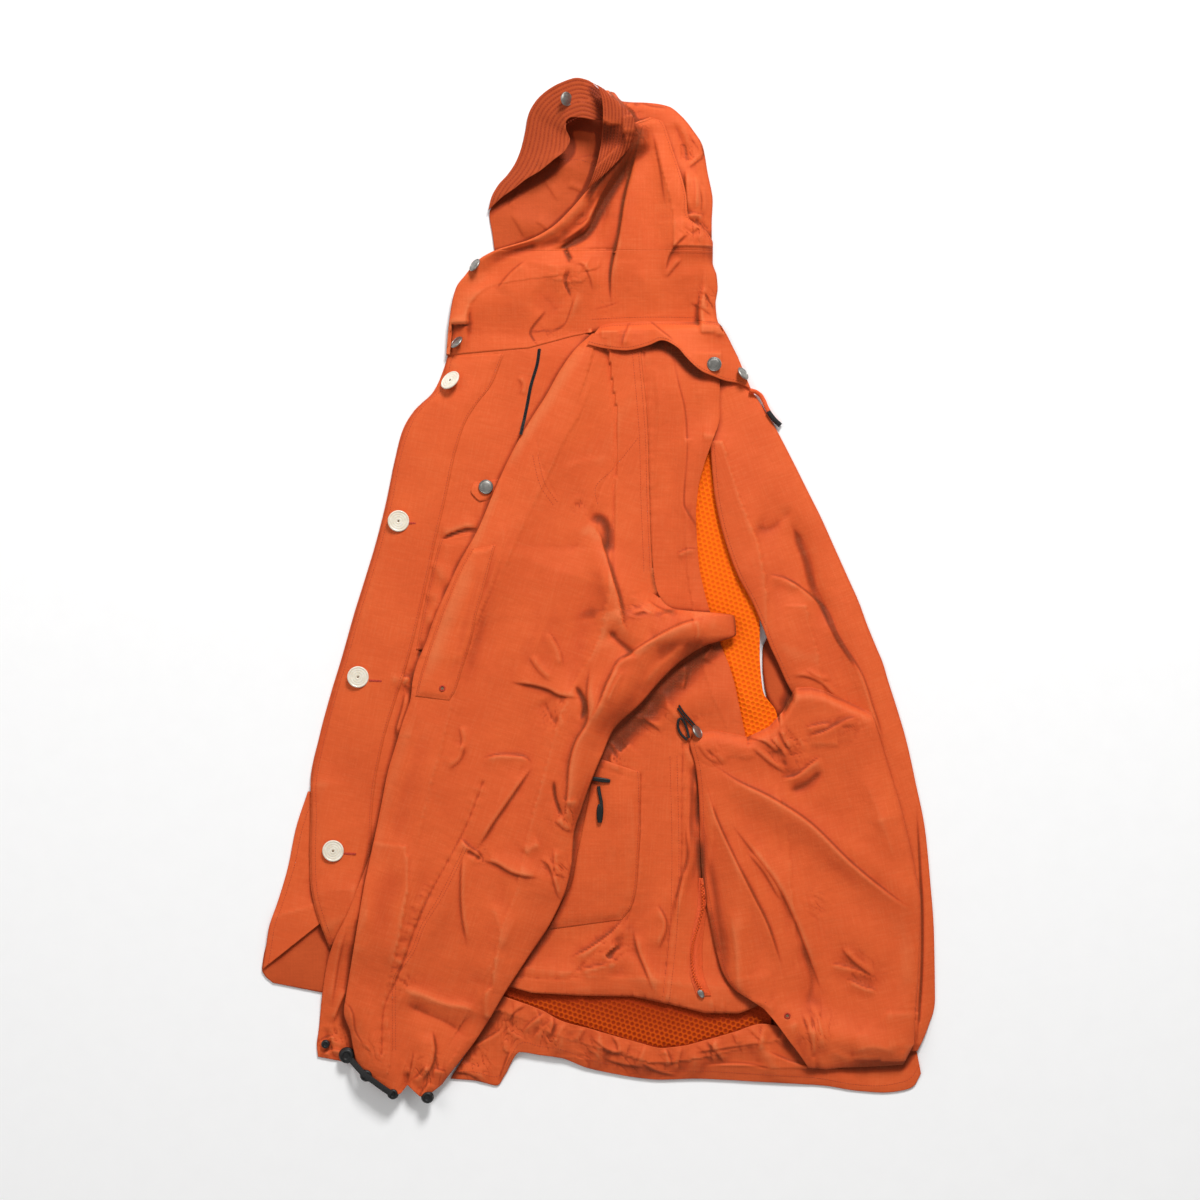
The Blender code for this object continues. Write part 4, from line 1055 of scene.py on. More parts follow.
def sew(piece, points, rows=(0.0,), lift=0.12):
    """Notes a line of stitches on a piece, and more lines beside it at these distances, mm."""
    line_a, line_d = smooth_line(points, 2.0)
    step = np.hypot(np.diff(line_a), np.diff(line_d))
    run = np.concatenate([[0], np.cumsum(step)])
    count = max(1, int(run[-1] / STITCH))
    starts = np.arange(count) * run[-1] / count
    for away in rows:
        ends = []
        for place in (starts, starts + STITCH_SHARE * run[-1] / count):
            a, d = np.interp(place, run, line_a), np.interp(place, run, line_d)
            ta, td = np.gradient(a), np.gradient(d)
            size = np.maximum(np.hypot(ta, td), 1e-6)
            a, d = a - td / size * away, d + ta / size * away
            ends.append(to_world(a, d, piece.height_at(a, d) + lift))
        STITCH_SPOTS.append(np.stack(ends, 1))


def make_stitches(name, finish):
    """All stitches in one mesh: each is a spindle with four sides between its two ends."""
    ends = np.concatenate(STITCH_SPOTS)
    first, last = ends[:, 0], ends[:, 1]
    middle = (first + last) / 2
    along = last - first
    size = np.linalg.norm(along, axis=1, keepdims=True)
    along = along / np.maximum(size, 1e-9)
    over = np.cross(along, (0, 0, 1.0))
    up = np.cross(over, along)
    half = STITCH_HALF * MM
    points = np.stack(
        [first, middle + over * half, middle + up * half, middle - over * half, middle - up * half,
        last], 1
    )
    base = np.arange(len(points))[:, None, None] * 6
    faces = np.array([[0, 2, 1], [0, 3, 2], [0, 4, 3], [0, 1, 4], [5, 1, 2], [5, 2, 3], [5, 3, 4],
        [5, 4, 1]])
    thing = mesh_object(name, points, (base + faces).reshape(-1, 3))
    return finish_piece(thing, finish)


# ---------------------------------------------------------------- tables of the pieces
# Each section: left across, left down, right across, right down.
RIGHT_FACING = [
    (272, 925, 345, 905), (263, 955, 350, 930), (261, 970, 352, 952), (264, 977, 355, 972),
    (272, 984, 358, 1001),
]
RIGHT_FRONT = [
    (307, 792, 350, 792), (295, 829, 350, 820), (287, 868, 351, 848), (277, 902, 351, 872),
    (268, 929, 350, 890), (265, 950, 342, 902), (262, 970, 322, 922),
]
RIGHT_BACK = [
    (688, 440, 720, 442), (688, 480, 728, 482), (688, 520, 738, 522), (688, 560, 752, 562),
    (692, 600, 759, 602), (697, 650, 759, 652), (701, 690, 760, 690), (704, 740, 762, 740),
    (700, 800, 770, 800), (690, 860, 780, 860), (650, 925, 785, 925), (520, 985, 790, 980),
    (506, 1010, 795, 1010), (512, 1045, 800, 1048), (560, 1052, 800, 1062),
]
RIGHT_BACK_EDGE = [
    (773, 612, 800, 612), (768, 636, 804, 636), (763, 650, 808, 650), (763, 665, 812, 665),
    (765, 686, 815, 686), (770, 705, 818, 705), (780, 730, 822, 730),
]
RIGHT_HOOD = [
    (563, 114, 604, 104), (556, 135, 606, 130), (548, 150, 606, 150), (530, 170, 604, 172),
    (510, 186, 602, 195), (493, 202, 598, 216), (489, 214, 594, 236), (492, 233, 588, 256),
    (495, 252, 582, 268), (502, 262, 576, 276),
]
HIDDEN_LAYERS = [
    (614, 140, 676, 135), (613, 175, 690, 172), (610, 210, 702, 205), (604, 240, 704, 238),
    (598, 268, 706, 266), (486, 288, 706, 286), (466, 310, 702, 312), (462, 345, 705, 340),
    (458, 380, 705, 375), (432, 415, 692, 415), (414, 455, 683, 455), (402, 500, 681, 500),
    (390, 550, 681, 550), (374, 610, 684, 610), (360, 660, 690, 660), (352, 710, 692, 710),
    (350, 760, 690, 760), (358, 800, 684, 800), (360, 850, 668, 850), (364, 900, 640, 900),
    (372, 945, 560, 945), (385, 978, 490, 978),
]
NET_VENT = [
    (692, 446, 716, 448), (692, 500, 732, 502), (694, 560, 754, 562), (702, 612, 760, 614),
    (708, 650, 760, 652), (718, 688, 763, 690), (730, 712, 777, 714), (738, 742, 780, 742),
]
# The net above the hem runs from left to right: top edge, then bottom edge.
NET_HEM = [
    (499, 970, 498, 1002), (529, 975, 527, 1012), (560, 978, 558, 1027), (591, 982, 590, 1037),
    (618, 984, 618, 1045), (640, 985, 640, 1051), (661, 988, 661, 1056), (690, 990, 690, 1052),
    (715, 992, 715, 1047), (740, 992, 740, 1041), (770, 988, 772, 1034),
]
HEM_BAND = [
    (474, 1042, 450, 1080), (486, 1014, 474, 1082), (497, 994, 496, 1087), (508, 998, 505, 1076),
    (520, 1002, 520, 1053), (541, 1010, 540, 1056), (562, 1021, 561, 1059), (591, 1029, 587, 1069),
    (618, 1037, 614, 1075), (640, 1043, 638, 1079), (661, 1048, 661, 1081), (682, 1046, 694, 1080),
    (706, 1040, 724, 1081), (734, 1032, 756, 1083), (762, 1024, 794, 1085), (790, 1030, 824, 1087),
    (815, 1040, 856, 1092), (845, 1046, 884, 1094), (875, 1044, 903, 1092), (895, 1034, 914, 1088),
    (911, 1020, 922, 1075),
]
LEFT_FRONT = [
    (452, 325, 598, 335), (448, 352, 592, 352), (442, 372, 585, 378), (433, 391, 577, 400),
    (413, 411, 566, 420), (402, 430, 556, 438), (394, 461, 545, 462), (386, 500, 526, 500),
    (376, 540, 508, 540), (364, 580, 490, 580), (354, 612, 476, 612), (341, 658, 456, 660),
    (330, 694, 446, 698), (319, 735, 436, 738), (310, 780, 424, 780), (310, 815, 416, 815),
    (309, 850, 408, 850), (310, 882, 400, 882), (314, 905, 394, 905), (329, 949, 385, 949),
]
PLACKET = [
    (447, 356, 504, 354), (439, 386, 492, 384), (420, 404, 477, 404), (406, 424, 465, 424),
    (395, 458, 455, 456), (387, 500, 446, 498), (377, 540, 436, 540), (365, 580, 427, 582),
    (355, 612, 420, 614), (342, 658, 408, 662), (331, 694, 396, 700), (320, 735, 384, 740),
    (311, 780, 375, 784), (311, 815, 372, 815), (310, 850, 371, 850), (311, 882, 370, 882),
    (315, 905, 368, 905), (329, 947, 364, 943),
]
CHEST_POCKET = [
    (440, 540, 500, 528), (434, 562, 492, 560), (427, 592, 480, 592), (421, 622, 466, 622),
    (416, 650, 452, 650),
]
SNAP_TAB = [(474, 482, 499, 479), (471, 491, 498, 489), (475, 497, 493, 496), (480, 501, 486, 501)]
SIDE_BACK = [
    (604, 332, 714, 332), (610, 356, 718, 356), (614, 385, 720, 385), (618, 415, 720, 415),
    (618, 440, 712, 442), (618, 465, 704, 465), (616, 490, 698, 490), (616, 515, 696, 515),
    (616, 540, 697, 540), (616, 565, 699, 565), (616, 590, 704, 590), (612, 618, 712, 618),
    (606, 645, 721, 645), (596, 665, 729, 665), (584, 685, 735, 685), (574, 705, 739, 705),
    (566, 724, 743, 724), (560, 745, 746, 742), (552, 775, 736, 775), (544, 805, 735, 805),
    (536, 835, 736, 835), (530, 865, 739, 865), (524, 895, 744, 895), (512, 925, 750, 925),
    (504, 955, 757, 955), (500, 984, 766, 1000),
]
SIDE_HEM = [(0, 0), (0.12, 7), (0.3, 7), (0.5, 5), (0.65, 11), (0.77, 17), (0.9, 15), (0.96, 8),
    (1, 0)]
HAND_POCKET = [
    (596, 757, 640, 772), (590, 790, 641, 792), (584, 822, 641, 824), (577, 855, 639, 856),
    (571, 885, 637, 886), (560, 905, 632, 906), (547, 930, 622, 920),
]
RIGHT_CAPE = [
    (700, 362, 739, 362), (702, 380, 750, 386), (704, 398, 760, 402), (708, 422, 774, 424),
    (711, 455, 791, 456), (714, 490, 808, 490), (719, 518, 822, 518), (727, 547, 835, 547),
    (738, 576, 848, 576), (752, 602, 860, 603), (762, 625, 868, 625), (770, 646, 877, 647),
    (778, 663, 884, 664), (786, 681, 889, 681), (800, 706, 897, 706), (818, 740, 907, 740),
    (836, 785, 917, 785), (850, 830, 926, 830), (860, 880, 931, 880), (866, 935, 935, 935),
    (868, 1000, 936, 1000), (864, 1030, 929, 1028), (860, 1050, 918, 1052),
]
GAME_BAG = [
    (695, 733, 872, 713), (690, 744, 880, 738), (696, 768, 889, 768), (699, 800, 899, 800),
    (700, 835, 908, 835), (702, 875, 916, 872), (708, 912, 921, 905), (716, 950, 920, 945),
    (724, 975, 918, 985), (738, 992, 915, 1018), (763, 1001, 914, 1044),
]
GAME_BAG_TOP = [
    (0, 0), (0.12, 0), (0.3, 10), (0.42, 2), (0.5, -12), (0.57, -34), (0.65, -33), (0.73, -28),
    (0.86, -15), (1, 0),
]
GAME_BAG_FOOT = [
    (0, 0), (0.13, 14), (0.19, 28), (0.25, 44), (0.3, 54), (0.42, 51), (0.52, 45), (0.72, 35),
    (0.93, 24), (1, 0),
]
GAME_BAG_ZIP = [
    (699, 878, 703, 878), (698, 903, 706, 903), (694, 926, 704.5, 926), (690, 948, 702.5, 948),
    (690, 972, 703, 970), (697, 997, 711, 996),
]
SLEEVE = [
    (592, 334, 640, 336), (575, 350, 641, 352), (560, 371, 643, 374), (546, 396, 646, 400),
    (530, 421, 648, 430), (512, 453, 649, 462), (497, 485, 650, 495), (478, 530, 651, 533),
    (460, 562, 653, 566), (446, 592, 657, 590), (437, 612, 672, 608), (431, 628, 734, 616),
    (427, 640, 736, 634), (422, 652, 704, 646), (417, 664, 682, 660), (413, 681, 661, 680),
    (411, 698, 641, 703), (403, 722, 614, 729), (397, 742, 603, 753), (388, 772, 591, 782),
    (382, 802, 582, 808), (376, 832, 574, 834), (370, 860, 572, 862), (365, 884, 567, 886),
    (359, 920, 551, 922), (353, 955, 528, 957), (347, 990, 504, 994), (344, 1012, 490, 1018),
    (350, 1032, 476, 1040), (353, 1048, 461, 1060), (356, 1062, 450, 1074), (360, 1075, 442, 1085),
]
SLEEVE_HEM = [(0, 0), (0.15, 6), (0.3, 13), (0.42, 16), (0.5, 13), (0.58, 4), (0.64, 8), (0.73, 14),
    (0.82, 12), (0.9, 7), (1, 0)]
CUFF_FOLD = [
    (373, 848, 400, 852), (365, 869, 402, 876), (355, 895, 398, 902), (345, 919, 394, 926),
    (334, 941, 388, 948), (326, 967, 382, 972), (321, 1000, 378, 1000), (318, 1030, 382, 1030),
    (316, 1046, 384, 1050), (317, 1058, 380, 1070),
]
ARM_POCKET = [
    (472, 549, 496, 545), (461, 568, 490, 567), (452, 588, 484, 590), (443, 610, 477, 615),
    (435, 632, 472, 640), (427, 655, 464, 665), (420, 678, 456, 690), (416, 696, 450, 700),
]
COLLAR = [
    (503, 240, 713, 240), (494, 251, 713, 251), (478, 260, 713, 262), (465, 275, 717, 275),
    (456, 287, 718, 288), (451, 306, 716, 302), (448, 330, 717, 316), (446, 355, 722, 332),
]
NECK_SEAM = [(0, 0), (0.3, 0), (0.45, -8), (0.57, -12), (0.75, -8), (1, 0)]
HOOD_GUSSET = [
    (606, 116, 603, 93), (618, 124, 613, 93), (628, 130, 623, 101), (640, 127, 640, 101),
    (652, 126, 655, 102), (658, 132, 669, 105), (662, 143, 682, 115), (666, 156, 694, 130),
    (671, 172, 703, 145), (676, 190, 708, 172), (679, 205, 713, 200), (680, 220, 712, 222),
    (680, 240, 712, 240),
]
BRIM_LOWER = [
    (488, 210, 492, 206), (491, 197, 502, 197), (498, 184, 514, 189), (507, 174, 526, 180),
    (515, 162, 540, 172), (521, 147, 553, 162), (525, 130, 566, 151), (528, 114, 570, 141),
    (535, 101, 566, 130), (547, 90, 566, 124), (561, 83, 572, 119), (576, 79, 584, 120),
    (588, 82, 595, 122), (600, 92, 607, 122),
]
LEFT_HOOD = [
    (630, 128, 650, 117), (633, 133, 662, 121), (631, 145, 668, 135), (619, 160, 673, 151),
    (602, 176, 680, 172), (586, 193, 686, 196), (570, 211, 688, 217), (552, 228, 706, 231),
    (530, 240, 713, 243), (496, 250, 713, 253),
]
BRIM_UPPER = [
    (592, 86, 604, 93), (598, 92, 612, 101), (602, 104, 623, 109), (603, 118, 632, 119),
    (602, 137, 635, 131), (599, 156, 631, 147), (595, 172, 618, 163), (590, 186, 603, 178),
    (585, 194, 590, 189),
]
# The yoke flap runs from left to right: top edge, then bottom edge.
YOKE_FLAP = [
    (600, 326, 587, 345), (612, 323, 604, 349), (630, 322, 625, 351), (644, 321, 648, 346),
    (656, 321, 662, 341), (668, 321, 677, 348), (680, 321, 686, 358), (691, 321, 694, 366),
    (701, 321, 702, 372), (710, 321, 714, 377), (718, 322, 726, 381), (725, 331, 738, 383),
    (738, 356, 751, 388),
]

# Largest folds: start across, down, bend across, down, end across, down, width, height.
SLEEVE_FOLDS = [
    (590, 535, 606, 575, 620, 625, 24, 4), (655, 640, 690, 625, 728, 625, 30, 7),
    (640, 668, 606, 690, 592, 730, 34, 7), (585, 735, 572, 790, 560, 850, 26, 5),
    (500, 870, 540, 874, 566, 890, 26, 3), (470, 850, 430, 930, 398, 990, 26, 3),
    (420, 1030, 425, 1060, 430, 1085, 20, 3), (365, 1000, 362, 1040, 385, 1070, 26, 4),
    (540, 700, 520, 760, 520, 800, 34, -3), (600, 560, 580, 620, 575, 680, 30, -3),
]
FRONT_FOLDS = [
    (470, 400, 430, 500, 410, 560, 44, 2), (390, 620, 380, 680, 350, 760, 40, 2),
    (350, 820, 345, 880, 350, 930, 30, 2),
]
SIDE_FOLDS = [
    (670, 362, 692, 440, 690, 545, 30, 2),
    (640, 720, 690, 700, 735, 690, 34, 3), (612, 775, 650, 860, 622, 925, 26, 3),
    (690, 760, 690, 880, 668, 1000, 26, 2), (600, 960, 640, 950, 655, 1000, 22, 3),
]
CAPE_FOLDS = [
    (735, 430, 765, 500, 785, 600, 60, 3), (800, 590, 790, 640, 800, 680, 34, 3),
    (838, 600, 870, 680, 890, 750, 24, 3), (915, 880, 922, 960, 915, 1020, 26, 3),
]
BAG_FOLDS = [
    (720, 775, 790, 810, 900, 890, 34, 5), (710, 790, 750, 870, 790, 970, 30, 4),
    (735, 850, 742, 930, 737, 1000, 26, 5), (780, 1015, 830, 1040, 900, 1050, 34, 6),
    (850, 740, 890, 820, 905, 900, 34, 3), (820, 900, 860, 950, 900, 960, 40, 3),
    (770, 850, 800, 900, 815, 960, 26, 4),
]
COLLAR_FOLDS = [
    (580, 262, 590, 300, 548, 340, 26, 4), (490, 275, 470, 310, 462, 340, 34, 3),
    (540, 262, 520, 290, 500, 330, 40, 3), (690, 280, 700, 300, 695, 318, 18, 3),
    (640, 260, 640, 290, 640, 315, 44, 2),
]
HOOD_FOLDS = [
    (645, 150, 632, 200, 625, 260, 28, 3), (664, 160, 672, 200, 668, 240, 34, 4),
    (600, 200, 597, 226, 596, 246, 16, -3),
]
GUSSET_FOLDS = [(692, 176, 697, 195, 697, 214, 14, 4), (612, 98, 625, 112, 632, 122, 14, 3),
                (684, 118, 698, 134, 705, 150, 18, 3)]
HEM_FOLDS = [
    (560, 1024, 562, 1040, 558, 1054, 12, 3), (600, 1036, 600, 1050, 596, 1066, 12, 3),
    (640, 1046, 645, 1060, 640, 1075, 14, 3), (690, 1050, 700, 1062, 690, 1076, 14, 3),
    (750, 1036, 770, 1055, 780, 1080, 16, 3),
]
RIGHT_HOOD_FOLDS = [(500, 215, 540, 220, 560, 240, 26, 3), (540, 165, 570, 160, 596, 175, 24, 3)]

# Buttons and snaps: name, lean and the direction that it leans towards, degrees.
BUTTONS = [("button_1", 50, 135), ("button_2", 0, 0), ("button_3", 0, 0), ("button_4", 0, 0)]
EYELETS = [(787, 1015), (443, 688)]
BUTTONHOLES = [(407.5, 523, 10), (369, 680.5, 13), (344, 853.5, 12)]
SNAPS = [
    ("snap_collar_top", 62, 144), ("snap_collar_low", 62, 135), ("snap_brim", 42, 0),
    ("snap_chest", 0, 0), ("snap_yoke", 7, 250), ("snap_yoke_edge", 62, 37), ("snap_bag", 62, 33),
]
CHEST_ZIP = [(539.4, 349), (537, 365), (531, 385.5), (527, 406), (521, 435)]
BAG_ZIP = [(702, 884), (703, 904), (698, 926), (693.5, 942), (692, 957), (694.5, 976), (702, 990)]

# Cords: name, finish, thickness, route as (across, down).
CORDS = [
    ("cuff_cord", "black", CUFF_CORD, [(347, 1056), (353, 1062), (360, 1069), (366, 1074.5),
                                       (375, 1081), (384, 1087.5), (392, 1093)]),
    ("pocket_pull_cord", "black", PULL_CORD, [(598.5, 786), (599.5, 793), (601, 800), (601.5, 807),
                                              (600.5, 814), (600, 820)]),
    ("bag_pull_cord", "black", 1.7, [(679, 705), (682, 710), (685.5, 714.5), (690, 719.5),
    (694, 724), (696, 727), (694.6, 728.4),
                                     (692, 726), (688, 721.5), (684, 717), (680.5, 712.5),
                                     (677.5, 708)]),
    ("bag_loop", "black", 2.6, [(687, 740), (681, 734), (678, 727), (678.5, 720), (682, 719),
                                (685, 724), (687.5, 731), (689, 738)]),
    ("hanging_loop_tip", "black", 5.0, [(768.5, 411), (772, 416), (776, 420.5), (781, 425)]),
    ("hanging_loop", "orange", 4.4, [(750, 390), (756, 391.5), (761, 395), (764.5, 401), (767, 407),
    (771, 414), (776, 420), (780.5, 424.5)]),
]
# What is fixed to a cord's far end.
# Moulded locks and ends: name, across, down, radius, height.
CORD_LOCKS = [
    ("cuff_cord_lock_cap", 346.5, 1056, 8.2, 10.0), ("cuff_cord_knot", 366.5, 1075, 6.6, 9.0),
    ("cuff_cord_end_cap", 393, 1093.5, 5.8, 8.5), ("cuff_toggle_cap", 427.5, 1097, 6.4, 8.5),
    ("cuff_cord_tip", 325, 1045, 4.4, 6.0),
]
# Finer creases: height, width on the left or upper side, width on the other, points on the plan.
SLEEVE_CREASES = [
    (-4.5, 9, 6, 586, 523, 598, 517, 607, 528, 608, 543, 603, 556),
    (3.6, 14, 1.8, 588, 524, 598, 534, 604, 552, 612, 580, 619, 603, 623, 625, 634, 636),
    (-1.6, 10, 9, 588, 600, 597, 628, 603, 650), (-6.0, 7, 6, 606, 628, 620, 642, 638, 658),
    (3.0, 5, 1.8, 645, 600, 658, 609, 672, 614), (2.2, 4, 2, 632, 613, 645, 610, 655, 616),
    (2.2, 3, 5, 660, 618, 676, 612, 689, 613), (5.0, 3, 16, 616, 668, 636, 652, 662, 636, 688, 624,
    706, 622),
    (2.0, 2, 3, 693, 613, 697, 629, 696, 642), (3.8, 15, 1.8, 511, 680, 522, 682, 535, 684, 549,
    688, 561, 694, 581, 696),
    (-3.0, 8, 8, 541, 698, 549, 712, 560, 726), (2.0, 3, 4, 531, 654, 540, 668, 553, 680),
    (2.0, 5, 3, 546, 631, 557, 650, 561, 668), (-4.0, 4, 2.5, 575, 684, 583, 698, 585, 710, 580,
    720),
    (5.0, 3, 14, 594, 660, 590, 690, 590, 720, 578, 742, 572, 764, 570, 792, 566, 830),
    (3.0, 3, 5, 640, 657, 622, 660, 611, 680, 601, 704, 590, 724),
    (1.6, 2, 2.5, 617, 668, 608, 684, 602, 700), (1.6, 2, 2.5, 624, 668, 614, 686, 606, 704),
    (-3.5, 3, 2, 554, 778, 556, 798, 564, 818), (2.5, 3, 4, 562, 800, 572, 802, 578, 798),
    (3.0, 3, 4, 556, 817, 566, 826, 573, 828), (3.2, 2.0, 9, 482, 760, 498, 756, 511, 756, 524, 758,
    532, 765),
    (4.0, 14, 1.8, 532, 765, 523, 777, 505, 803, 492, 822, 482, 838, 474, 848),
    (4.0, 9, 2.0, 460, 838, 467, 846, 475, 851, 483, 857),
    (-3.5, 4, 3, 466, 849, 474, 853, 482, 859),
    (4.0, 14, 2.5, 482, 857, 497, 861, 511, 869, 525, 873, 541, 874),
    (3.0, 6, 5, 524, 853, 532, 846, 541, 842),
    (3.4, 2.0, 6, 540, 856, 551, 865, 559, 892, 564, 899),
    (2.6, 3, 5, 556, 846, 558, 870, 569, 874),
    (3.0, 1.8, 12, 465, 850, 463, 882, 464, 913, 470, 948),
    (2.0, 14, 14, 500, 892, 530, 890, 560, 898),
    (7.0, 17, 7, 399, 980, 408, 990, 421, 994, 438, 1001, 452, 1005, 470, 1008, 480, 1020),
    (-5.0, 10, 12, 400, 1000, 424, 1012, 450, 1024, 470, 1040),
    (3.0, 10, 3, 340, 1000, 350, 1012, 353, 1032, 364, 1048),
    (4.0, 9, 3, 430, 1030, 433, 1048, 430, 1064, 420, 1078),
    (3.0, 3, 5, 412, 1082, 421, 1076, 430, 1064),
    (2.6, 3, 4, 433, 1070, 440, 1072, 446, 1074), (3.0, 3, 5, 432, 1082, 426, 1090, 422, 1098),
    (2.0, 2, 4, 416, 1050, 413, 1068, 409, 1084), (-4.0, 4, 4, 404, 1096, 406, 1084, 408, 1070),
    (2.0, 6, 9, 490, 900, 500, 925, 500, 950), (2.6, 12, 7, 520, 905, 500, 950, 478, 985),
    (1.2, 4, 12, 560, 470, 585, 463, 613, 458),
    (2.4, 7, 3, 463, 741, 459, 757, 447, 767), (2.0, 3, 5, 462, 724, 465, 740, 462, 752),
    (2.0, 8, 14, 430, 830, 405, 900, 385, 975), (2.2, 14, 9, 560, 560, 545, 620, 530, 660),
    (3.0, 5, 12, 690, 640, 671, 658, 655, 672, 640, 690),
]
SLEEVE_SPOTS = [
    (584, 506, 13, 1.6, 25, 8, 3.5), (566, 812, 18, 2.2, 70, 14, 4.5),
    (640, 606, 18, 1.4, 30, 16, 5),
    (424, 1072, 22, 2.2, 85, 14, 4), (370, 1050, 18, 1.6, 70, 12, 4),
    (560, 868, 18, 1.8, 60, 15, 5),
    (556, 712, 20, 1.3, 60, 15, 5), (482, 855, 12, 1.4, 20, 12, 4), (405, 985, 14, 1.4, 20, 12, 4),
]
SLEEVE_SEAMS = [
    (0, 1, 0.4, 0.2, 537, 441, 541, 460, 546, 473, 551, 485, 558, 497),
    (0, 1, 0.9, 0.5, 640, 436, 625, 455, 612, 470, 601, 487, 597, 502),
    (0, 1, 1.1, 0.6, 484, 780, 466, 826, 444, 868, 432, 890, 418, 921, 407, 952, 397, 978, 384,
    1010, 382, 1054),
]
CUFF_CREASES = [
    (3.0, 6, 2, 346, 988, 338, 1006, 330, 1024), (3.0, 2, 5, 317, 1046, 326, 1040, 336, 1038),
    (2.6, 2, 4, 320, 1060, 330, 1052, 344, 1054),
    (2.4, 7, 3, 345, 925, 336, 960, 328, 1010), (-3.0, 4, 4, 324, 1028, 327, 1042, 326, 1056),
]
# Bands of painted light: strength, width, points. Above 0 a painted highlight where the cloth bends to the
# light; below 0 painted shade and shadow under edges, in slits and in fold hollows.
SLEEVE_PAINTED_LIGHT = [
    (-1.5, 8, 499, 530, 490, 570, 483, 610, 474, 650, 462, 700),
    (2.4, 7, 592, 336, 568, 368, 546, 405, 520, 443, 499, 483),
    (2.2, 7, 499, 483, 482, 521, 467, 556), (1.2, 10, 420, 700, 396, 770, 380, 830, 372, 880),
    (1.2, 6, 368, 893, 354, 941, 349, 985),
    (-1.0, 12, 430, 720, 408, 790, 395, 850), (-1.2, 12, 400, 860, 385, 900, 375, 950),
    (1.6, 5, 619, 660, 650, 643, 688, 625),
    (-5.5, 4.5, 591, 526, 598, 519, 604, 521, 608, 531, 608, 546, 605, 556),
    (-3.2, 2.6, 607, 553, 612, 572, 618, 590, 621, 606, 624, 622),
    (1.8, 5, 582, 540, 586, 531, 593, 531, 599, 545), (-1.2, 6, 600, 556, 604, 590, 612, 625),
    (1.0, 8, 640, 380, 610, 440, 590, 480), (-0.8, 14, 560, 600, 540, 640, 525, 670),
]
ARM_PAINTED_LIGHT = [(-1.3, 5, 488, 548, 480, 575, 470, 612, 460, 655, 446, 698),
    (2.0, 9, 480, 546, 462, 590, 440, 640, 425, 690)]
SLEEVE_PLEATS = (432, 884, 418, 921, 407, 952, 396, 982)
FRONT_CREASES = [
    (2.8, 12, 1.6, 440, 538, 448, 533, 456, 530, 466, 527, 478, 527),
    (-2.5, 1.6, 1.6, 441, 540, 453, 534, 466, 530, 479, 530),
    (-2.4, 2, 2, 423, 641, 421, 650, 418, 658), (2.4, 1.8, 5, 427, 625, 434, 612, 444, 602),
    (2.6, 2, 4, 392, 681, 402, 678, 412, 680), (2.2, 2, 3, 396, 686, 404, 682, 408, 676),
    (3.0, 1.8, 6, 407, 690, 404, 708, 398, 728, 399, 738),
    (2.0, 3, 2, 413, 700, 408, 718, 400, 738),
    (2.2, 3, 7, 430, 560, 444, 575, 460, 585), (2.0, 4, 8, 424, 590, 440, 600, 452, 615),
    (1.6, 10, 16, 470, 360, 440, 430, 425, 500), (1.2, 12, 16, 400, 560, 380, 640, 362, 720),
    (1.8, 2, 4, 518, 376, 524, 384, 522, 396),
]
FRONT_SPOTS = [(404, 680, 13, 1.6, 10, 9, 3.5), (420, 648, 11, 1.6, 70, 9, 3.5),
    (440, 600, 24, 0.8, 60, 18, 7)]
SIDE_CREASES = [
    (2.2, 12, 3.0, 669, 352, 676, 385, 682, 410, 684, 440, 683, 470, 681, 500, 684, 512, 695, 530,
    697, 548),
    (2.4, 2, 4, 676, 556, 688, 551, 698, 550),
    (3.4, 1.8, 6, 713, 645, 708, 652, 703, 661), (3.0, 6, 1.8, 684, 664, 685, 676, 682, 690),
    (2.4, 6, 4, 664, 690, 668, 706, 680, 722), (2.4, 3, 6, 628, 712, 648, 720, 664, 730),
    (3.4, 2, 9, 610, 740, 620, 752, 632, 742), (2.2, 2, 3, 612, 752, 612, 762, 618, 768),
    (4.4, 2.0, 10, 627, 918, 612, 934, 590, 950, 570, 960),
    (4.0, 8, 2.0, 620, 942, 604, 956, 618, 962),
    (3.5, 3, 8, 578, 973, 603, 967, 621, 962), (3.8, 3, 8, 636, 930, 640, 950, 649, 972, 657, 994),
    (3.0, 9, 3, 655, 905, 664, 925, 655, 950), (2.5, 4, 9, 655, 360, 660, 420, 655, 500),
    (3.2, 3, 5, 688, 820, 690, 858, 682, 888, 676, 926),
    (3.0, 5, 2, 700, 780, 704, 816, 701, 862, 704, 900),
    (2.4, 4, 5, 686, 744, 694, 770, 697, 800), (-3.0, 5, 3, 692, 760, 698, 790, 697, 830),
    (1.8, 6, 9, 612, 830, 620, 860, 612, 900), (2.0, 3, 4, 652, 700, 645, 716, 632, 722),
    (-6.0, 12, 12, 608, 764, 618, 736, 640, 712, 662, 690),
]
SIDE_PAINTED_LIGHT = [
    (-8.0, 2.5, 699, 835, 700, 860, 702, 885, 704, 905),
    (-7.0, 6, 746, 641, 727, 646, 713, 653, 695, 664, 675, 682, 653, 705, 631, 728, 612, 754, 602,
    772),
    (-2.0, 8, 716, 662, 692, 678, 668, 702, 646, 724, 622, 750),
    (-7.0, 4.5, 644, 346, 662, 346, 676, 355, 687, 366, 696, 374, 708, 384),
    (-1.5, 9, 610, 770, 620, 742, 640, 722, 668, 700), (-1.2, 6, 690, 760, 694, 800, 694, 850, 686,
    900), (1.2, 8, 640, 360, 640, 440, 636, 520),
    (-1.3, 5, 684, 500, 692, 520, 697, 545), (-1.6, 6, 600, 960, 620, 935, 640, 925),
    (-2.6, 2.0, 695, 745, 692, 800, 689, 858, 676, 927),
]
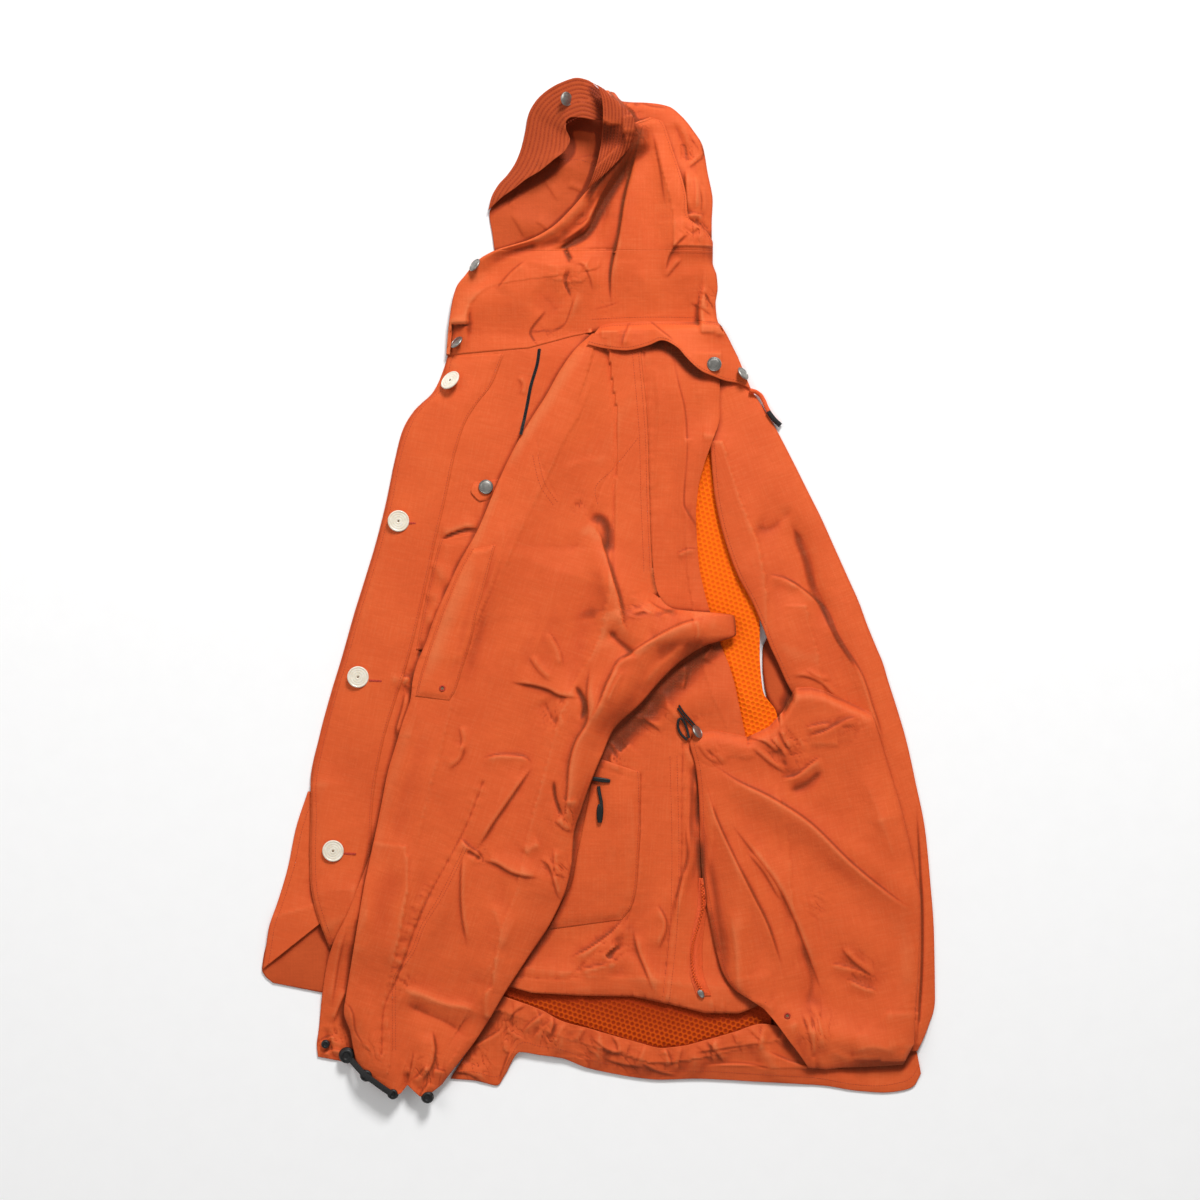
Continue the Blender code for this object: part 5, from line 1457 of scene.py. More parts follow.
BACK_EDGE_PAINTED_LIGHT = [(-7.0, 7, 792, 668, 795, 684, 790, 700, 780, 712),
    (-2.0, 8, 800, 640, 806, 670, 804, 700)]
SIDE_SPOTS = [(614, 752, 16, 1.8, 30, 12, 4), (612, 950, 20, 1.8, 150, 14, 5),
    (650, 715, 22, 1.6, 20, 16, 5),
              (696, 720, 12, 1.0, 60, 10, 4)]
SIDE_SEAMS = [
    (7, 1, 0.8, 0.4, 683, 742, 683, 766, 682, 820, 681, 881, 674, 904, 668, 950, 664, 1000),
    (0, 1, 0.8, 0.4, 641, 774, 639, 824, 637, 873, 628, 917, 600, 946, 569, 978),
    (0, 1, 0.7, 0.6, 508, 975, 560, 979, 592, 972, 607, 967, 622, 953),
    (0, 1, 0.6, 0.4, 644, 352, 648, 420, 650, 480, 652, 560),
]
CAPE_CREASES = [
    (-4.0, 12, 12, 751, 524, 767, 529, 782, 520, 795, 507),
    (-10.0, 9, 7, 786, 516, 796, 532, 803, 545, 809, 562, 815, 588, 824, 610, 834, 634),
    (3.4, 10, 2, 778, 575, 800, 589, 816, 602, 826, 612, 834, 632, 845, 650),
    (3.0, 12, 1.8, 834, 632, 845, 650, 861, 676, 873, 712, 884, 745),
    (2.2, 3, 5, 768, 577, 782, 580, 800, 589), (2.2, 1.8, 4, 789, 676, 805, 675, 822, 682, 835, 694,
    844, 698),
    (1.6, 2, 3, 806, 668, 818, 676, 832, 680), (-3.5, 2.0, 3.0, 917, 800, 921, 870, 923, 920, 922,
    980, 917, 1050),
]
CAPE_PAINTED_LIGHT = [
    (-7.0, 1.9, 810, 596, 820, 604, 826, 614, 831, 626, 838, 640, 848, 655, 860, 674),
    (-3.0, 4, 793, 528, 800, 545, 806, 562, 810, 580, 815, 598),
    (-1.0, 12, 750, 526, 767, 530, 784, 520), (1.2, 6, 770, 640, 800, 655, 830, 660),
]
BAG_CREASES = [
    (4.2, 14, 3.0, 704, 760, 733, 781, 771, 800, 809, 825, 847, 862, 878, 888, 905, 907, 924, 910),
    (3.8, 9, 1.8, 702, 776, 714, 816, 733, 858, 752, 896, 767, 927, 782, 972),
    (3.4, 3, 9, 729, 816, 752, 846, 778, 881, 797, 919, 809, 950, 826, 994),
    (2.6, 2, 6, 748, 850, 766, 872, 782, 900),
    (-5.0, 8, 8, 708, 850, 716, 900, 722, 950, 727, 994),
    (5.0, 7, 12, 729, 905, 736, 950, 738, 1012),
    (2.4, 2.5, 3, 752, 745, 772, 762, 788, 772), (3.0, 2, 6, 748, 736, 764, 740, 780, 752),
    (-3.8, 6, 7, 786, 791, 800, 788, 812, 780, 825, 768),
    (3.4, 3, 8, 780, 780, 796, 778, 812, 766, 824, 757),
    (2.6, 1.8, 4, 771, 736, 779, 746, 788, 757), (2.6, 2, 4, 780, 728, 786, 742, 794, 752),
    (3.2, 2.5, 9, 806, 738, 824, 733, 847, 721, 863, 718),
    (2.4, 2, 4, 804, 730, 818, 726, 832, 724),
    (2.2, 2, 4, 828, 965, 848, 969, 868, 975), (2.4, 2, 4, 842, 946, 856, 962, 876, 976),
    (2.4, 2, 4, 846, 980, 862, 988, 878, 992), (1.6, 8, 10, 872, 824, 888, 818, 903, 820),
    (2.6, 4, 7, 812, 1000, 818, 1025, 824, 1052), (2.2, 3, 4, 804, 1010, 812, 1035, 816, 1056),
    (3.2, 6, 9, 850, 1052, 872, 1046, 900, 1052), (2.4, 5, 8, 826, 1050, 850, 1060, 880, 1062),
    (-3.0, 7, 7, 800, 940, 812, 980, 806, 1010), (2.0, 6, 10, 860, 770, 885, 830, 896, 870),
    (2.2, 3, 5, 704, 745, 715, 752, 726, 764), (1.8, 2, 3, 698, 742, 708, 756, 720, 762),
    (3.0, 5, 8, 745, 1000, 762, 1002, 775, 1012),
]
BAG_PAINTED_LIGHT = [
    (-9.0, 2.5, 701, 838, 701.5, 862, 703, 888, 706, 908), (-2.5, 5, 707, 905, 711, 930, 718, 957),
    (-1.6, 1.2, 697, 905, 694.5, 930, 692.5, 957, 694, 980),
    (-1.8, 7, 700, 800, 706, 850, 716, 905, 722, 960, 726, 1005),
    (-1.6, 8, 776, 742, 790, 770, 806, 786, 826, 772), (1.2, 6, 748, 842, 768, 872, 786, 904),
    (-1.2, 10, 806, 736, 830, 730, 862, 722), (-1.5, 6, 794, 1030, 806, 1056, 826, 1066),
    (-1.0, 14, 838, 940, 860, 970, 884, 990),
    (1.0, 10, 884, 900, 905, 950, 900, 1010), (-1.2, 4, 733, 858, 752, 896, 767, 927, 782, 972),
    (-1.0, 12, 800, 950, 812, 990, 812, 1030),
]
BAG_SPOTS = [(788, 748, 24, 1.8, 50, 15, 4.5), (712, 755, 14, 1.4, 40, 12, 4),
    (818, 1030, 20, 1.8, 75, 16, 4.5),
             (862, 970, 24, 1.0, 20, 20, 6), (818, 905, 16, 1.0, 20, 12, 4),
             (850, 725, 22, 1.1, 160, 16, 5)]
COLLAR_CREASES = [
    (2.2, 2.0, 8, 573, 262, 584, 264, 592, 278, 595, 292),
    (-2.2, 5, 3, 570, 268, 566, 283, 572, 299),
    (2.0, 9, 1.8, 565, 268, 562, 282, 570, 298), (3.4, 3, 9, 579, 292, 573, 312, 566, 327, 549,
    336),
    (4.0, 10, 1.8, 545, 309, 529, 329, 531, 339, 538, 348),
    (2.6, 2, 5, 530, 334, 541, 333, 552, 333),
    (-2.5, 14, 14, 533, 290, 548, 300, 560, 316), (2.4, 3, 9, 528, 262, 512, 275, 498, 292),
    (2.6, 7, 1.8, 689, 232, 679, 240, 668, 255, 663, 274),
    (2.2, 4, 1.8, 681, 258, 672, 268, 664, 278),
    (2.0, 2, 4, 699, 288, 710, 296, 716, 308), (2.0, 2, 4, 690, 300, 702, 306, 714, 314),
    (1.6, 8, 12, 480, 285, 470, 310, 462, 340),
    (1.8, 5, 8, 640, 268, 645, 290, 640, 314), (1.8, 3, 4, 594, 312, 608, 309, 622, 304),
]
COLLAR_SPOTS = [(706, 298, 15, 1.8, 60, 10, 4), (572, 284, 12, 1.4, 80, 10, 4),
    (545, 336, 12, 1.2, 10, 9, 4),
                (606, 312, 14, 0.9, 10, 10, 4)]
HOOD_CREASES = [
    (-3.6, 9, 1.8, 640, 136, 630, 172, 623, 202, 618, 235, 611, 268, 610, 288, 611, 306),
    (3.5, 1.8, 22, 642, 134, 632, 172, 625, 202, 620, 235, 613, 268, 612, 288, 613, 306),
    (-13.0, 3, 7, 636, 140, 622, 172, 607, 197, 600, 212, 592, 228, 580, 238, 562, 248, 548, 252),
    (5.0, 9, 2.2, 632, 148, 616, 170, 601, 194, 593, 210, 585, 224, 572, 234, 556, 243),
    (3.5, 3, 3, 601, 196, 592, 214, 588, 224, 578, 236), (2.6, 3, 4, 614, 168, 600, 188, 590, 205),
    (2.4, 3, 9, 655, 130, 662, 165, 668, 205), (2.4, 2, 4, 566, 246, 570, 256, 572, 264),
    (-3.0, 3, 3, 563, 244, 567, 252, 573, 262),
    (2.2, 5, 4, 530, 246, 550, 240, 566, 232),
]
HOOD_SPOTS = [(636, 132, 14, 1.8, 60, 10, 4), (695, 232, 13, 2.6, 70, 8, 3.5),
    (584, 222, 14, 1.0, 130, 14, 5)]
HEM_CREASES = [
    (3.0, 3, 8, 470, 1050, 490, 1040, 505, 1030), (3.0, 8, 2, 452, 1072, 470, 1074, 488, 1086),
    (3.0, 2, 6, 500, 1084, 506, 1066, 512, 1050),
    (2.6, 2, 6, 592, 1036, 610, 1050, 626, 1052), (2.4, 6, 2, 604, 1058, 625, 1064, 645, 1066),
    (2.4, 2, 6, 640, 1060, 656, 1070, 678, 1076),
    (2.0, 8, 2, 690, 1052, 730, 1046, 770, 1040), (2.2, 2, 8, 760, 1050, 800, 1066, 850, 1072),
    (2.0, 3, 7, 700, 1068, 740, 1066, 780, 1074),
]
HEM_SPOTS = [
    (478, 1066, 20, 1.8, 60, 12, 4), (512, 1032, 18, 2.0, 100, 12, 4),
    (548, 1038, 18, 1.8, 90, 12, 4),
    (590, 1052, 20, 1.2, 60, 14, 5), (628, 1062, 20, 1.0, 30, 14, 5),
    (665, 1064, 20, 0.6, 20, 14, 6),
]
NET_CREASES = [
    (2.5, 8, 6, 585, 985, 580, 1010, 572, 1030), (2.5, 6, 9, 672, 995, 668, 1020, 664, 1050),
    (2.0, 5, 8, 720, 990, 722, 1015, 726, 1045), (2.0, 6, 8, 728, 650, 740, 690, 760, 726),
    (2.0, 4, 8, 735, 560, 730, 600, 722, 650),
]
GUSSET_CREASES = [
    (-5.0, 7, 4, 673, 120, 682, 140, 690, 164), (3.0, 3, 2, 688, 166, 697, 158, 702, 152, 698, 144),
    (3.0, 1.8, 6, 687, 168, 687, 192, 689, 213), (2.2, 2, 3, 695, 172, 697, 190, 696, 210),
    (2.0, 2, 2.5, 701, 182, 704, 200, 703, 214),
    (3.0, 3, 5, 612, 96, 620, 102, 622, 112), (-4.0, 4, 4, 618, 118, 628, 122, 634, 126),
    (2.6, 3, 6, 640, 104, 652, 108, 668, 110),
    (2.6, 3, 4, 690, 128, 697, 140, 704, 150), (2.6, 2, 3, 684, 217, 694, 215, 704, 217),
]
GUSSET_SPOTS = [(625, 110, 16, 2.6, 20, 10, 4), (697, 228, 12, 3.0, 75, 8, 3),
    (690, 150, 16, 1.6, 70, 12, 4.5)]
RIGHT_HOOD_CREASES = [
    (1.2, 2, 6, 541, 164, 556, 161, 570, 161), (1.0, 2, 6, 545, 178, 552, 188, 560, 200),
    (1.2, 5, 2, 567, 184, 575, 186, 583, 190), (1.2, 2, 5, 511, 212, 518, 222, 527, 238),
    (1.2, 2, 5, 535, 219, 542, 223, 549, 229), (1.0, 3, 5, 510, 208, 514, 199, 521, 190),
    (1.2, 3, 5, 574, 162, 588, 158, 602, 160),
]


# Left and right height of the hood's edges as shown, one row for each section.
BRIM_LOWER_HEIGHT = [
    (2, 2), (2, 6), (1, 10), (1, 13), (1, 16), (1, 18), (1, 18), (2, 18), (4, 19), (8, 20),
    (14, 21),
    (19, 22), (23, 22), (24, 22),
]
LEFT_HOOD_HEIGHT = [(18, 0), (19, 0), (19, 0), (18, 0), (17, 0), (16, 0), (15, 0), (13, 0), (12, 0),
    (11, 0),
                    (10, 0), (9, 0), (7, 0), (5, 0), (2, 0), (0, 0)]
HOOD_PAINTED_LIGHT = [
    (-4.5, 3.5, 628, 154, 620, 172, 607, 197, 600, 212, 592, 228, 580, 238, 566, 244, 556, 248),
    (-3.5, 4, 592, 228, 580, 238, 568, 244, 568, 254, 573, 266),
    (-1.6, 6, 624, 168, 614, 185, 606, 205, 600, 225),
    (1.5, 4, 600, 186, 586, 200, 574, 214, 560, 230, 545, 240, 520, 250),
    (-1.3, 12, 628, 180, 618, 210, 612, 240, 606, 262),
    (1.3, 8, 500, 262, 478, 280, 462, 310, 456, 335), (-1.0, 12, 540, 290, 556, 312, 570, 322),
    (1.2, 6, 582, 285, 574, 306, 560, 330),
]
YOKE_FLAP_HEIGHT = [(0, 0), (0, 0), (0, 1), (0, 4), (0, 8), (0, 9), (0, 9), (0, 8), (0, 6), (0, 3),
    (0, 1), (0, 0),
                    (0, 0)]
YOKE_CREASES = [(2.4, 2, 6, 632, 322, 627, 335, 623, 348),
    (2.4, 6, 2, 648, 321, 658, 331, 672, 342)]
BRIM_UPPER_HEIGHT = [(7, 4), (9, 4), (10, 5), (10, 5), (10, 5), (10, 5), (8, 4), (6, 4), (4, 4)]
HOOD_SEAMS = [
    (0, 1, 0.7, 0.4, 575, 249, 595, 249, 614, 249),
    (0, 1, 0.9, 0.6, 690, 217, 700, 222, 711, 218),
    (0, 1, 0.7, 0.5, 448, 343, 490, 341, 530, 341),
]


# ---------------------------------------------------------------- the jacket in cloth
def edge_line(sections, side, inset):
    """A line this far inside a piece's left or right edge, from its sections."""
    table = np.array([s[:4] for s in sections], float)
    width = np.hypot(table[:, 2] - table[:, 0], table[:, 3] - table[:, 1])[:, None]
    share = inset / np.maximum(width, 1)
    left, right = table[:, :2], table[:, 2:]
    return left + (right - left) * share if side == "l" else right + (left - right) * share


def pull_pleats(points, spacing, length, height, seed):
    """Short creases square to a line, unevenly spaced: the gathers along a drawn edge."""
    line_a, line_d = smooth_line(points, 2.0)
    run = np.concatenate([[0], np.cumsum(np.hypot(np.diff(line_a), np.diff(line_d)))])
    chance = np.random.default_rng(seed)
    creases, place = [], spacing * 0.5
    while place < run[-1]:
        a, d = np.interp(place, run, line_a), np.interp(place, run, line_d)
        ta = np.interp(place + 1, run, line_a) - a
        td = np.interp(place + 1, run, line_d) - d
        size = math.hypot(ta, td) or 1.0
        reach, bend = length * chance.uniform(0.4, 1.2), length * chance.uniform(-0.5, 0.5)
        end = (a - td / size * reach + bend, d + ta / size * reach)
        middle = ((a + end[0]) / 2 + 0.2 * bend, (d + end[1]) / 2 + chance.uniform(-2, 2))
        widths = (1.8, 5.0) if chance.random() < 0.5 else (4.0, 1.8)
        creases.append((height * chance.uniform(0.3, 1.1), *widths, a, d, *middle, *end))
        place += spacing * chance.uniform(0.4, 1.7)
    return creases


def lay_mound(pile):
    """The hidden layers: their height only, as in the solids; the pieces above cover them."""
    across, down, share = lattice(HIDDEN_LAYERS, 260, 80)
    run = np.linspace(0, 1, 261)[:, None]
    dome = (1 - (2 * share - 1) ** MOUND_DOME[0]) * (1 - (2 * run - 1) ** MOUND_DOME[1])
    height = MOUND_EDGE + (MOUND - MOUND_EDGE) * dome
    pile.lay(across, down, height)
    across, down, height = (v[::2, ::2] for v in (across, down, height))    # nothing shows them
    thing = cloth_mesh(
        "hidden_layers_cloth", across, down, height - MOUND_DROP, np.zeros_like(height), 0.5, 8,
        "shell",
        ("hidden_layers",),
    )
    state_cut(across, down, height)


def cloth_floor_layers(pile):
    lay_cloth(pile, "right_facing_cloth", RIGHT_FACING, sides="lb", finish="inner")
    front = lay_cloth(pile, "right_front_cloth", RIGHT_FRONT, sides="l", turn=12)
    sew(front, edge_line(RIGHT_FRONT, "l", 7))
    lay_mound(pile)
    lay_cloth(pile, "right_back_edge_cloth", RIGHT_BACK_EDGE, sides="l", streaks=BACK_EDGE_PAINTED_LIGHT,
        finish="inner")
    lay_cloth(pile, "right_back_cloth", RIGHT_BACK, 3.0, sides="", finish="inner")
    hood = lay_cloth(
        pile, "right_hood_cloth", RIGHT_HOOD, 1.3, slack=2.0, sides="l", folds=RIGHT_HOOD_FOLDS,
        creases=RIGHT_HOOD_CREASES, finish="inner",
    )
    sew(hood, [(560, 160), (580, 159), (600, 166)])


def cloth_net(pile):
    """The knitted lining where it shows: full light on the vent, painted shade on the hem's net growing
    towards its top edge, where the hem of the back hangs over it.
    """
    lit = {
        "net_vent_cloth": (NET_VENT, lambda across, down, share: np.ones_like(share)),
        # Painted shade: darker towards the hem net's top edge.
        "net_hem_cloth": (
            NET_HEM, lambda across, down, share: 0.25 + 0.75 * np.clip(share * 1.6 - 0.3, 0, 1),
        ),
    }
    for name, (table, weft) in lit.items():
        lay_cloth(
            pile, name, table, 0.95, slack=1.0, sides="",
            finish="net" if "vent" in name else "net_shaded", wall=0.8, broad=1.0, weft=weft,
            creases=NET_CREASES,
        )


def cloth_body(pile):
    hem_top = [(s[0], s[1]) for s in HEM_BAND[3:]]
    hem = lay_cloth(
        pile, "hem_band_cloth", HEM_BAND, 1.5, slack=2.0, puff=5, sides="r", folds=HEM_FOLDS,
        creases=pull_pleats(hem_top, 13, 26, 2.6, 5) + HEM_CREASES, spots=HEM_SPOTS, broad=0.5,
        turn=90,
    )
    sew(hem, edge_line(HEM_BAND, "r", 9))
    cape = lay_cloth(
        pile, "right_cape_cloth", RIGHT_CAPE, 1.6, slack=4.0, puff=8, sides="lr", folds=CAPE_FOLDS,
        creases=CAPE_CREASES, streaks=CAPE_PAINTED_LIGHT, broad=1.0, turn=-20,
        lifts=[(3, 0)] * 14 + [(0, 0)] * 9,
    )
    sew(cape, edge_line(RIGHT_CAPE[:14], "l", 4))
    front = lay_cloth(
        pile, "left_front_cloth", LEFT_FRONT, 1.9, slack=2.5, puff=8, sides="lb", sunk="t", sink=16,
        folds=FRONT_FOLDS,
        creases=FRONT_CREASES, spots=FRONT_SPOTS, broad=1.0, turn=12,
    )
    sew(front, edge_line(LEFT_FRONT[1:], "l", 6))
    placket = lay_cloth(
        pile, "front_placket_cloth", PLACKET, slack=0.2, puff=2, sides="lr", sunk="lrtb", dip=-0.2,
        reach=1, slope=3, wall=0.4,
        broad=0.1, fine=0.1, edge=0.0, turn=12,
    )
    sew(placket, edge_line(PLACKET, "r", 2.5))
    sew(placket, edge_line(PLACKET, "l", 5))
    pocket = lay_cloth(
        pile, "chest_pocket_cloth", CHEST_POCKET, slack=0.6, puff=3, sides="lt", sunk="lt",
        dip=-0.2, reach=1, slope=2, wall=0.4, edge=0.0, broad=0.1,
        fine=0.1, turn=10,
    )
    sew(pocket, edge_line(CHEST_POCKET, "l", 2.5))
    lay_cloth(pile, "snap_tab_cloth", SNAP_TAB, 1.2, slack=0.4, puff=2, sides="lrtb", reach=1,
        slope=3, sunk="tr",
              sink=4.0, dip=-0.2, wall=0.5, edge=0.1)
    side = lay_cloth(
        pile, "side_back_cloth", SIDE_BACK, 1.8, slack=3.5, puff=7, sides="rb", folds=SIDE_FOLDS,
        foot=SIDE_HEM,
        creases=SIDE_CREASES + pull_pleats([(508, 994), (569, 1006), (640, 1010), (740, 1022)], 14,
        -18, 2.0, 3),
        seams=SIDE_SEAMS, spots=SIDE_SPOTS, streaks=SIDE_PAINTED_LIGHT, broad=1.1, turn=4,
    )
    sew(side, [(676, 756), (678, 850), (676, 930), (668, 1004)], (-1.0, 6.0))
    sew(side, [(637, 790), (637, 850), (633, 900), (622, 916)])
    pocket = lay_cloth(
        pile, "hand_pocket_cloth", HAND_POCKET, slack=0.8, puff=4, sides="lrt", sunk="rb", dip=-0.2,
        reach=1, slope=4, wall=0.4, edge=0.0,
        seams=[(0, 1, 0.6, 0.5, 600, 766, 615, 772, 636, 779)],
    )
    sew(pocket, edge_line(HAND_POCKET, "r", 2.5))
    bag = lay_cloth(
        pile, "game_bag_cloth", GAME_BAG, 1.5, reach=8, slope=16, streaks=BAG_PAINTED_LIGHT, slack=5.0,
        puff=9, sides="lrb", sunk="t", folds=BAG_FOLDS, creases=BAG_CREASES,
        spots=BAG_SPOTS, head=GAME_BAG_TOP, foot=GAME_BAG_FOOT, broad=1.6, turn=-12,
    )
    sew(bag, edge_line(GAME_BAG[1:], "l", 4))
    lay_cloth(
        pile, "game_bag_zip_cloth", GAME_BAG_ZIP, 1.2, slack=0.8, puff=2, sides="lrtb", reach=1,
        slope=2, sunk="lrtb",
        sink=4, dip=-0.3, wall=0.4, edge=0.3, broad=0.1, fine=0.1, finish="tape",
    )


def cloth_sleeve(pile):
    """The flattened sleeve: a tube whose upper half carries the folds, open at the cuff."""
    lay_cloth(
        pile, "cuff_fold_cloth", CUFF_FOLD, 1.5, slack=2.5, puff=5, sides="lb", turn=10,
        creases=CUFF_CREASES,
        spots=[(330, 1044, 20, 2.4, 60, 11, 4)],
    )
    rows, columns = (round(span / SLEEVE_SPACING) for span in SLEEVE_SPAN)
    across, down, share = lattice(SLEEVE, rows, columns, None, SLEEVE_HEM)
    run = np.linspace(0, 1, rows + 1)[:, None]
    rest = pile.rest(6.0, 8.0)
    base = read_map(rest, across, down)
    sewn = np.clip((run - SEWN_RUN[0]) / SEWN_RUN[1], 0, 1) * np.ones_like(share)
    thin_edge, thin_puff = SLEEVE_THIN
    edge = thin_edge + (SLEEVE_EDGE - thin_edge) * np.clip(sewn + (1 - share) * 2, 0, 1)
    puff = thin_puff + (SLEEVE_PUFF - thin_puff) * np.clip(sewn + (1 - share) * 1.2, 0, 1)
    puff = puff * np.clip(4 * share * (1 - share), 0, 1) ** 0.6
    width = np.hypot(across[:, -1] - across[:, 0], down[:, -1] - down[:, 0])[:, None]
    ease = 1 - np.exp(-np.minimum(share, 1 - share) * width / 8)
    ridge, dark = creased(SLEEVE_CREASES + pull_pleats(SLEEVE_PLEATS, 3.4, 9, 0.9, 8), across, down)
    crack, crack_shadow = crumple(SLEEVE_SPOTS, across, down, 4)
    relief = bumps(SLEEVE_FOLDS, across, down) + ridge + crack
    relief = relief + seamed(SLEEVE_SEAMS, across, down, 3)
    relief = (relief + waves(across, down, 11, 1.2, 0.3)) * np.maximum(ease, 0.3)
    height = base + edge + np.logaddexp(1.2 * (puff + relief), 0) / 1.2
    back_edge = [v for s in SLEEVE[:11] for v in s[2:4]] + [700, 612]
    gap, place, _ = beside(*smooth_line(back_edge), across, down)
    soft = 12 + 34 * np.clip((0.86 - place) / 0.3, 0, 1)
    flush = np.exp(-((gap / soft) ** 2))
    flush = flush * np.clip((FLUSH_RUN[0] - run) / FLUSH_RUN[1], 0, 1)
    flush = flush * np.clip((FLUSH_PLACE[0] - place) / FLUSH_PLACE[1], 0, 1)
    height = height * (1 - flush) + (read_map(pile.top, across, down) + FLUSH_GAP) * flush
    pile.lay(across, down, height)
    under_share = np.linspace(1, 0, SLEEVE_UNDER + 1)[1:]
    pick = np.rint(under_share * columns).astype(int)
    low = np.minimum(base[:, pick] + LAYER_GAP[0], height[:, pick] - LAYER_GAP[1])
    low[:, -1] = height[:, 0]
    ring_a = np.concatenate([across, across[:, pick]], 1)
    ring_d = np.concatenate([down, down[:, pick]], 1)
    ring_h = np.concatenate([height, low], 1)
    # Painted light as on the other pieces, faded where the sleeve lies flush; then its bands of painted
    # light.
    fold = (sharpness(height) - SHADOW * (dark + crack_shadow)) * (1 - 0.85 * flush)
    fold = fold + paint_light_bands(SLEEVE_PAINTED_LIGHT, across, down)
    fold = np.concatenate([fold, np.zeros_like(low)], 1)
    thing = cloth_mesh(
        "left_sleeve_cloth", ring_a, ring_d, ring_h, fold, 0.6, 18, "shell", ("left_sleeve",), True
    )
    state_cut(ring_a, ring_d, ring_h)
    sleeve = Cloth(across, down, height)
    sew(sleeve, [(638, 348), (645, 430), (647, 500), (650, 572)], (0.0, 6.0))
    sew(sleeve, [(538, 455), (541, 470), (546, 486), (558, 503)], (0.0, 5.0))
    sew(sleeve, [(638, 438), (623, 457), (610, 472), (598, 483), (595, 492), (598, 505)])
    sew(sleeve, [(470, 842), (445, 892), (425, 925), (415, 950), (400, 972), (396, 988),
        (396, 1050)], (0.0, 3.0))
    pocket = lay_cloth(
        pile, "arm_pocket_cloth", ARM_POCKET, 1.6, slack=0.2, puff=2, sides="lrtb", reach=1,
        slope=2, wall=0.4,
        broad=0.1, fine=0.1, edge=0.0, turn=14, sunk="lrtb", dip=-0.25, sink=4.0,
        streaks=ARM_PAINTED_LIGHT,
    )
    sew(pocket, edge_line(ARM_POCKET, "r", 2))
    sew(pocket, edge_line(ARM_POCKET, "l", 2))


def quilt_lines(piece, sections, pitch, first, most):
    """Stitches in every groove of a quilted band, wherever it is wide enough."""
    table = np.array(sections, float)
    wide = np.hypot(*(table[:, 2:] - table[:, :2]).T)
    for inset in np.arange(first, most, pitch):
        line = edge_line(sections, "l", inset)[wide > inset + 1.5]
        if len(line) > 2:
            sew(piece, line, lift=0.05)


def cloth_hood(pile):
    low = lay_cloth(
        pile, "brim_lower_cloth", BRIM_LOWER, 1.1, slack=0.5, puff=3, sides="lr",
        lifts=BRIM_LOWER_HEIGHT,
        reach=3, wall=1.2, broad=0.3, turn=60, quilt=(4.5, 0.5), finish="quilt",
    )
    quilt_lines(low, BRIM_LOWER, 4.5, 4.5 * 0.65, 44)
    lay_cloth(
        pile, "hood_gusset_cloth", HOOD_GUSSET, 1.4, slack=5.0, puff=8, sides="r",
        folds=GUSSET_FOLDS,
        creases=GUSSET_CREASES, spots=GUSSET_SPOTS,
    )
    hood = lay_cloth(
        pile, "left_hood_cloth", LEFT_HOOD[:-1] + COLLAR[1:], 1.3, sunk="b", sink=40.0,
        streaks=HOOD_PAINTED_LIGHT, slack=5.0, puff=8, sides="lr",
        folds=HOOD_FOLDS + COLLAR_FOLDS, creases=HOOD_CREASES + COLLAR_CREASES, reach=5, slope=6,
        spots=HOOD_SPOTS + COLLAR_SPOTS, lifts=LEFT_HOOD_HEIGHT, roll=15, foot=NECK_SEAM, broad=1.0,
        seams=HOOD_SEAMS, edge=0.1,
        parts=(("left_hood_cloth", 0, 9), ("collar_cloth", 9, 15)),
    )
    sew(hood, edge_line(LEFT_HOOD, "r", 2))
    high = lay_cloth(
        pile, "brim_upper_cloth", BRIM_UPPER, 1.0, slack=0.5, puff=3, sides="lr",
        lifts=BRIM_UPPER_HEIGHT,
        reach=6, slope=9, wall=1.2, broad=0.3, turn=80, quilt=(3.4, 0.9), finish="quilt",
    )
    quilt_lines(high, BRIM_UPPER[:8], 3.4, 3.4 * 0.65, 30)
    flap = lay_cloth(
        pile, "yoke_flap_cloth", YOKE_FLAP, 1.3, slack=0.8, puff=2, sides="rlb", reach=1, broad=0.3,
        turn=90,
        lifts=YOKE_FLAP_HEIGHT, creases=YOKE_CREASES, sunk="l", sink=5.0,
    )
    sew(flap, edge_line(YOKE_FLAP, "r", 3))
    sew(flap, edge_line(YOKE_FLAP, "l", 3))
    sew(hood, [(592, 319), (640, 317), (700, 317)])


# ---------------------------------------------------------------- hard pieces
def revolve(profile, sides):
    """Rings of points: each (radius, height) of the profile turned about the upright axis."""
    radius, height = np.array(profile, float).T
    angle = np.linspace(0, 2 * np.pi, sides, endpoint=False)
    rings = np.stack(
        [radius[:, None] * np.cos(angle), radius[:, None] * np.sin(angle),
         np.broadcast_to(height[:, None], (len(radius), sides))], -1
    )
    return rings


def smooth_profile(points, count):
    return catmull(np.array(points, float), np.linspace(0, len(points) - 1, count))


def turned_piece(name, profile, finish, place, sides, lean=0.0, towards=0.0, nodes=()):
    """A turned piece: its profile's rings, tipped by `lean` degrees towards a direction, then placed."""
    rings = revolve(profile, sides)
    points = tip(rings.reshape(-1, 3), lean, towards) * MM + to_world(*map(np.array, place))
    thing = mesh_object(name, points, grid_quads(len(profile) - 1, sides, True)[:, ::-1])
    return finish_piece(thing, finish, *nodes)


def tip(points, lean, towards):
    """Turns points about the level axis square to `towards`, so that the upright leans that way."""
    t, w = math.radians(lean), math.radians(towards)
    axis = np.array([-math.sin(w), math.cos(w), 0.0])
    c, s = math.cos(t), math.sin(t)
    return points * c + np.cross(axis, points) * s + axis * (points @ axis)[:, None] * (1 - c)


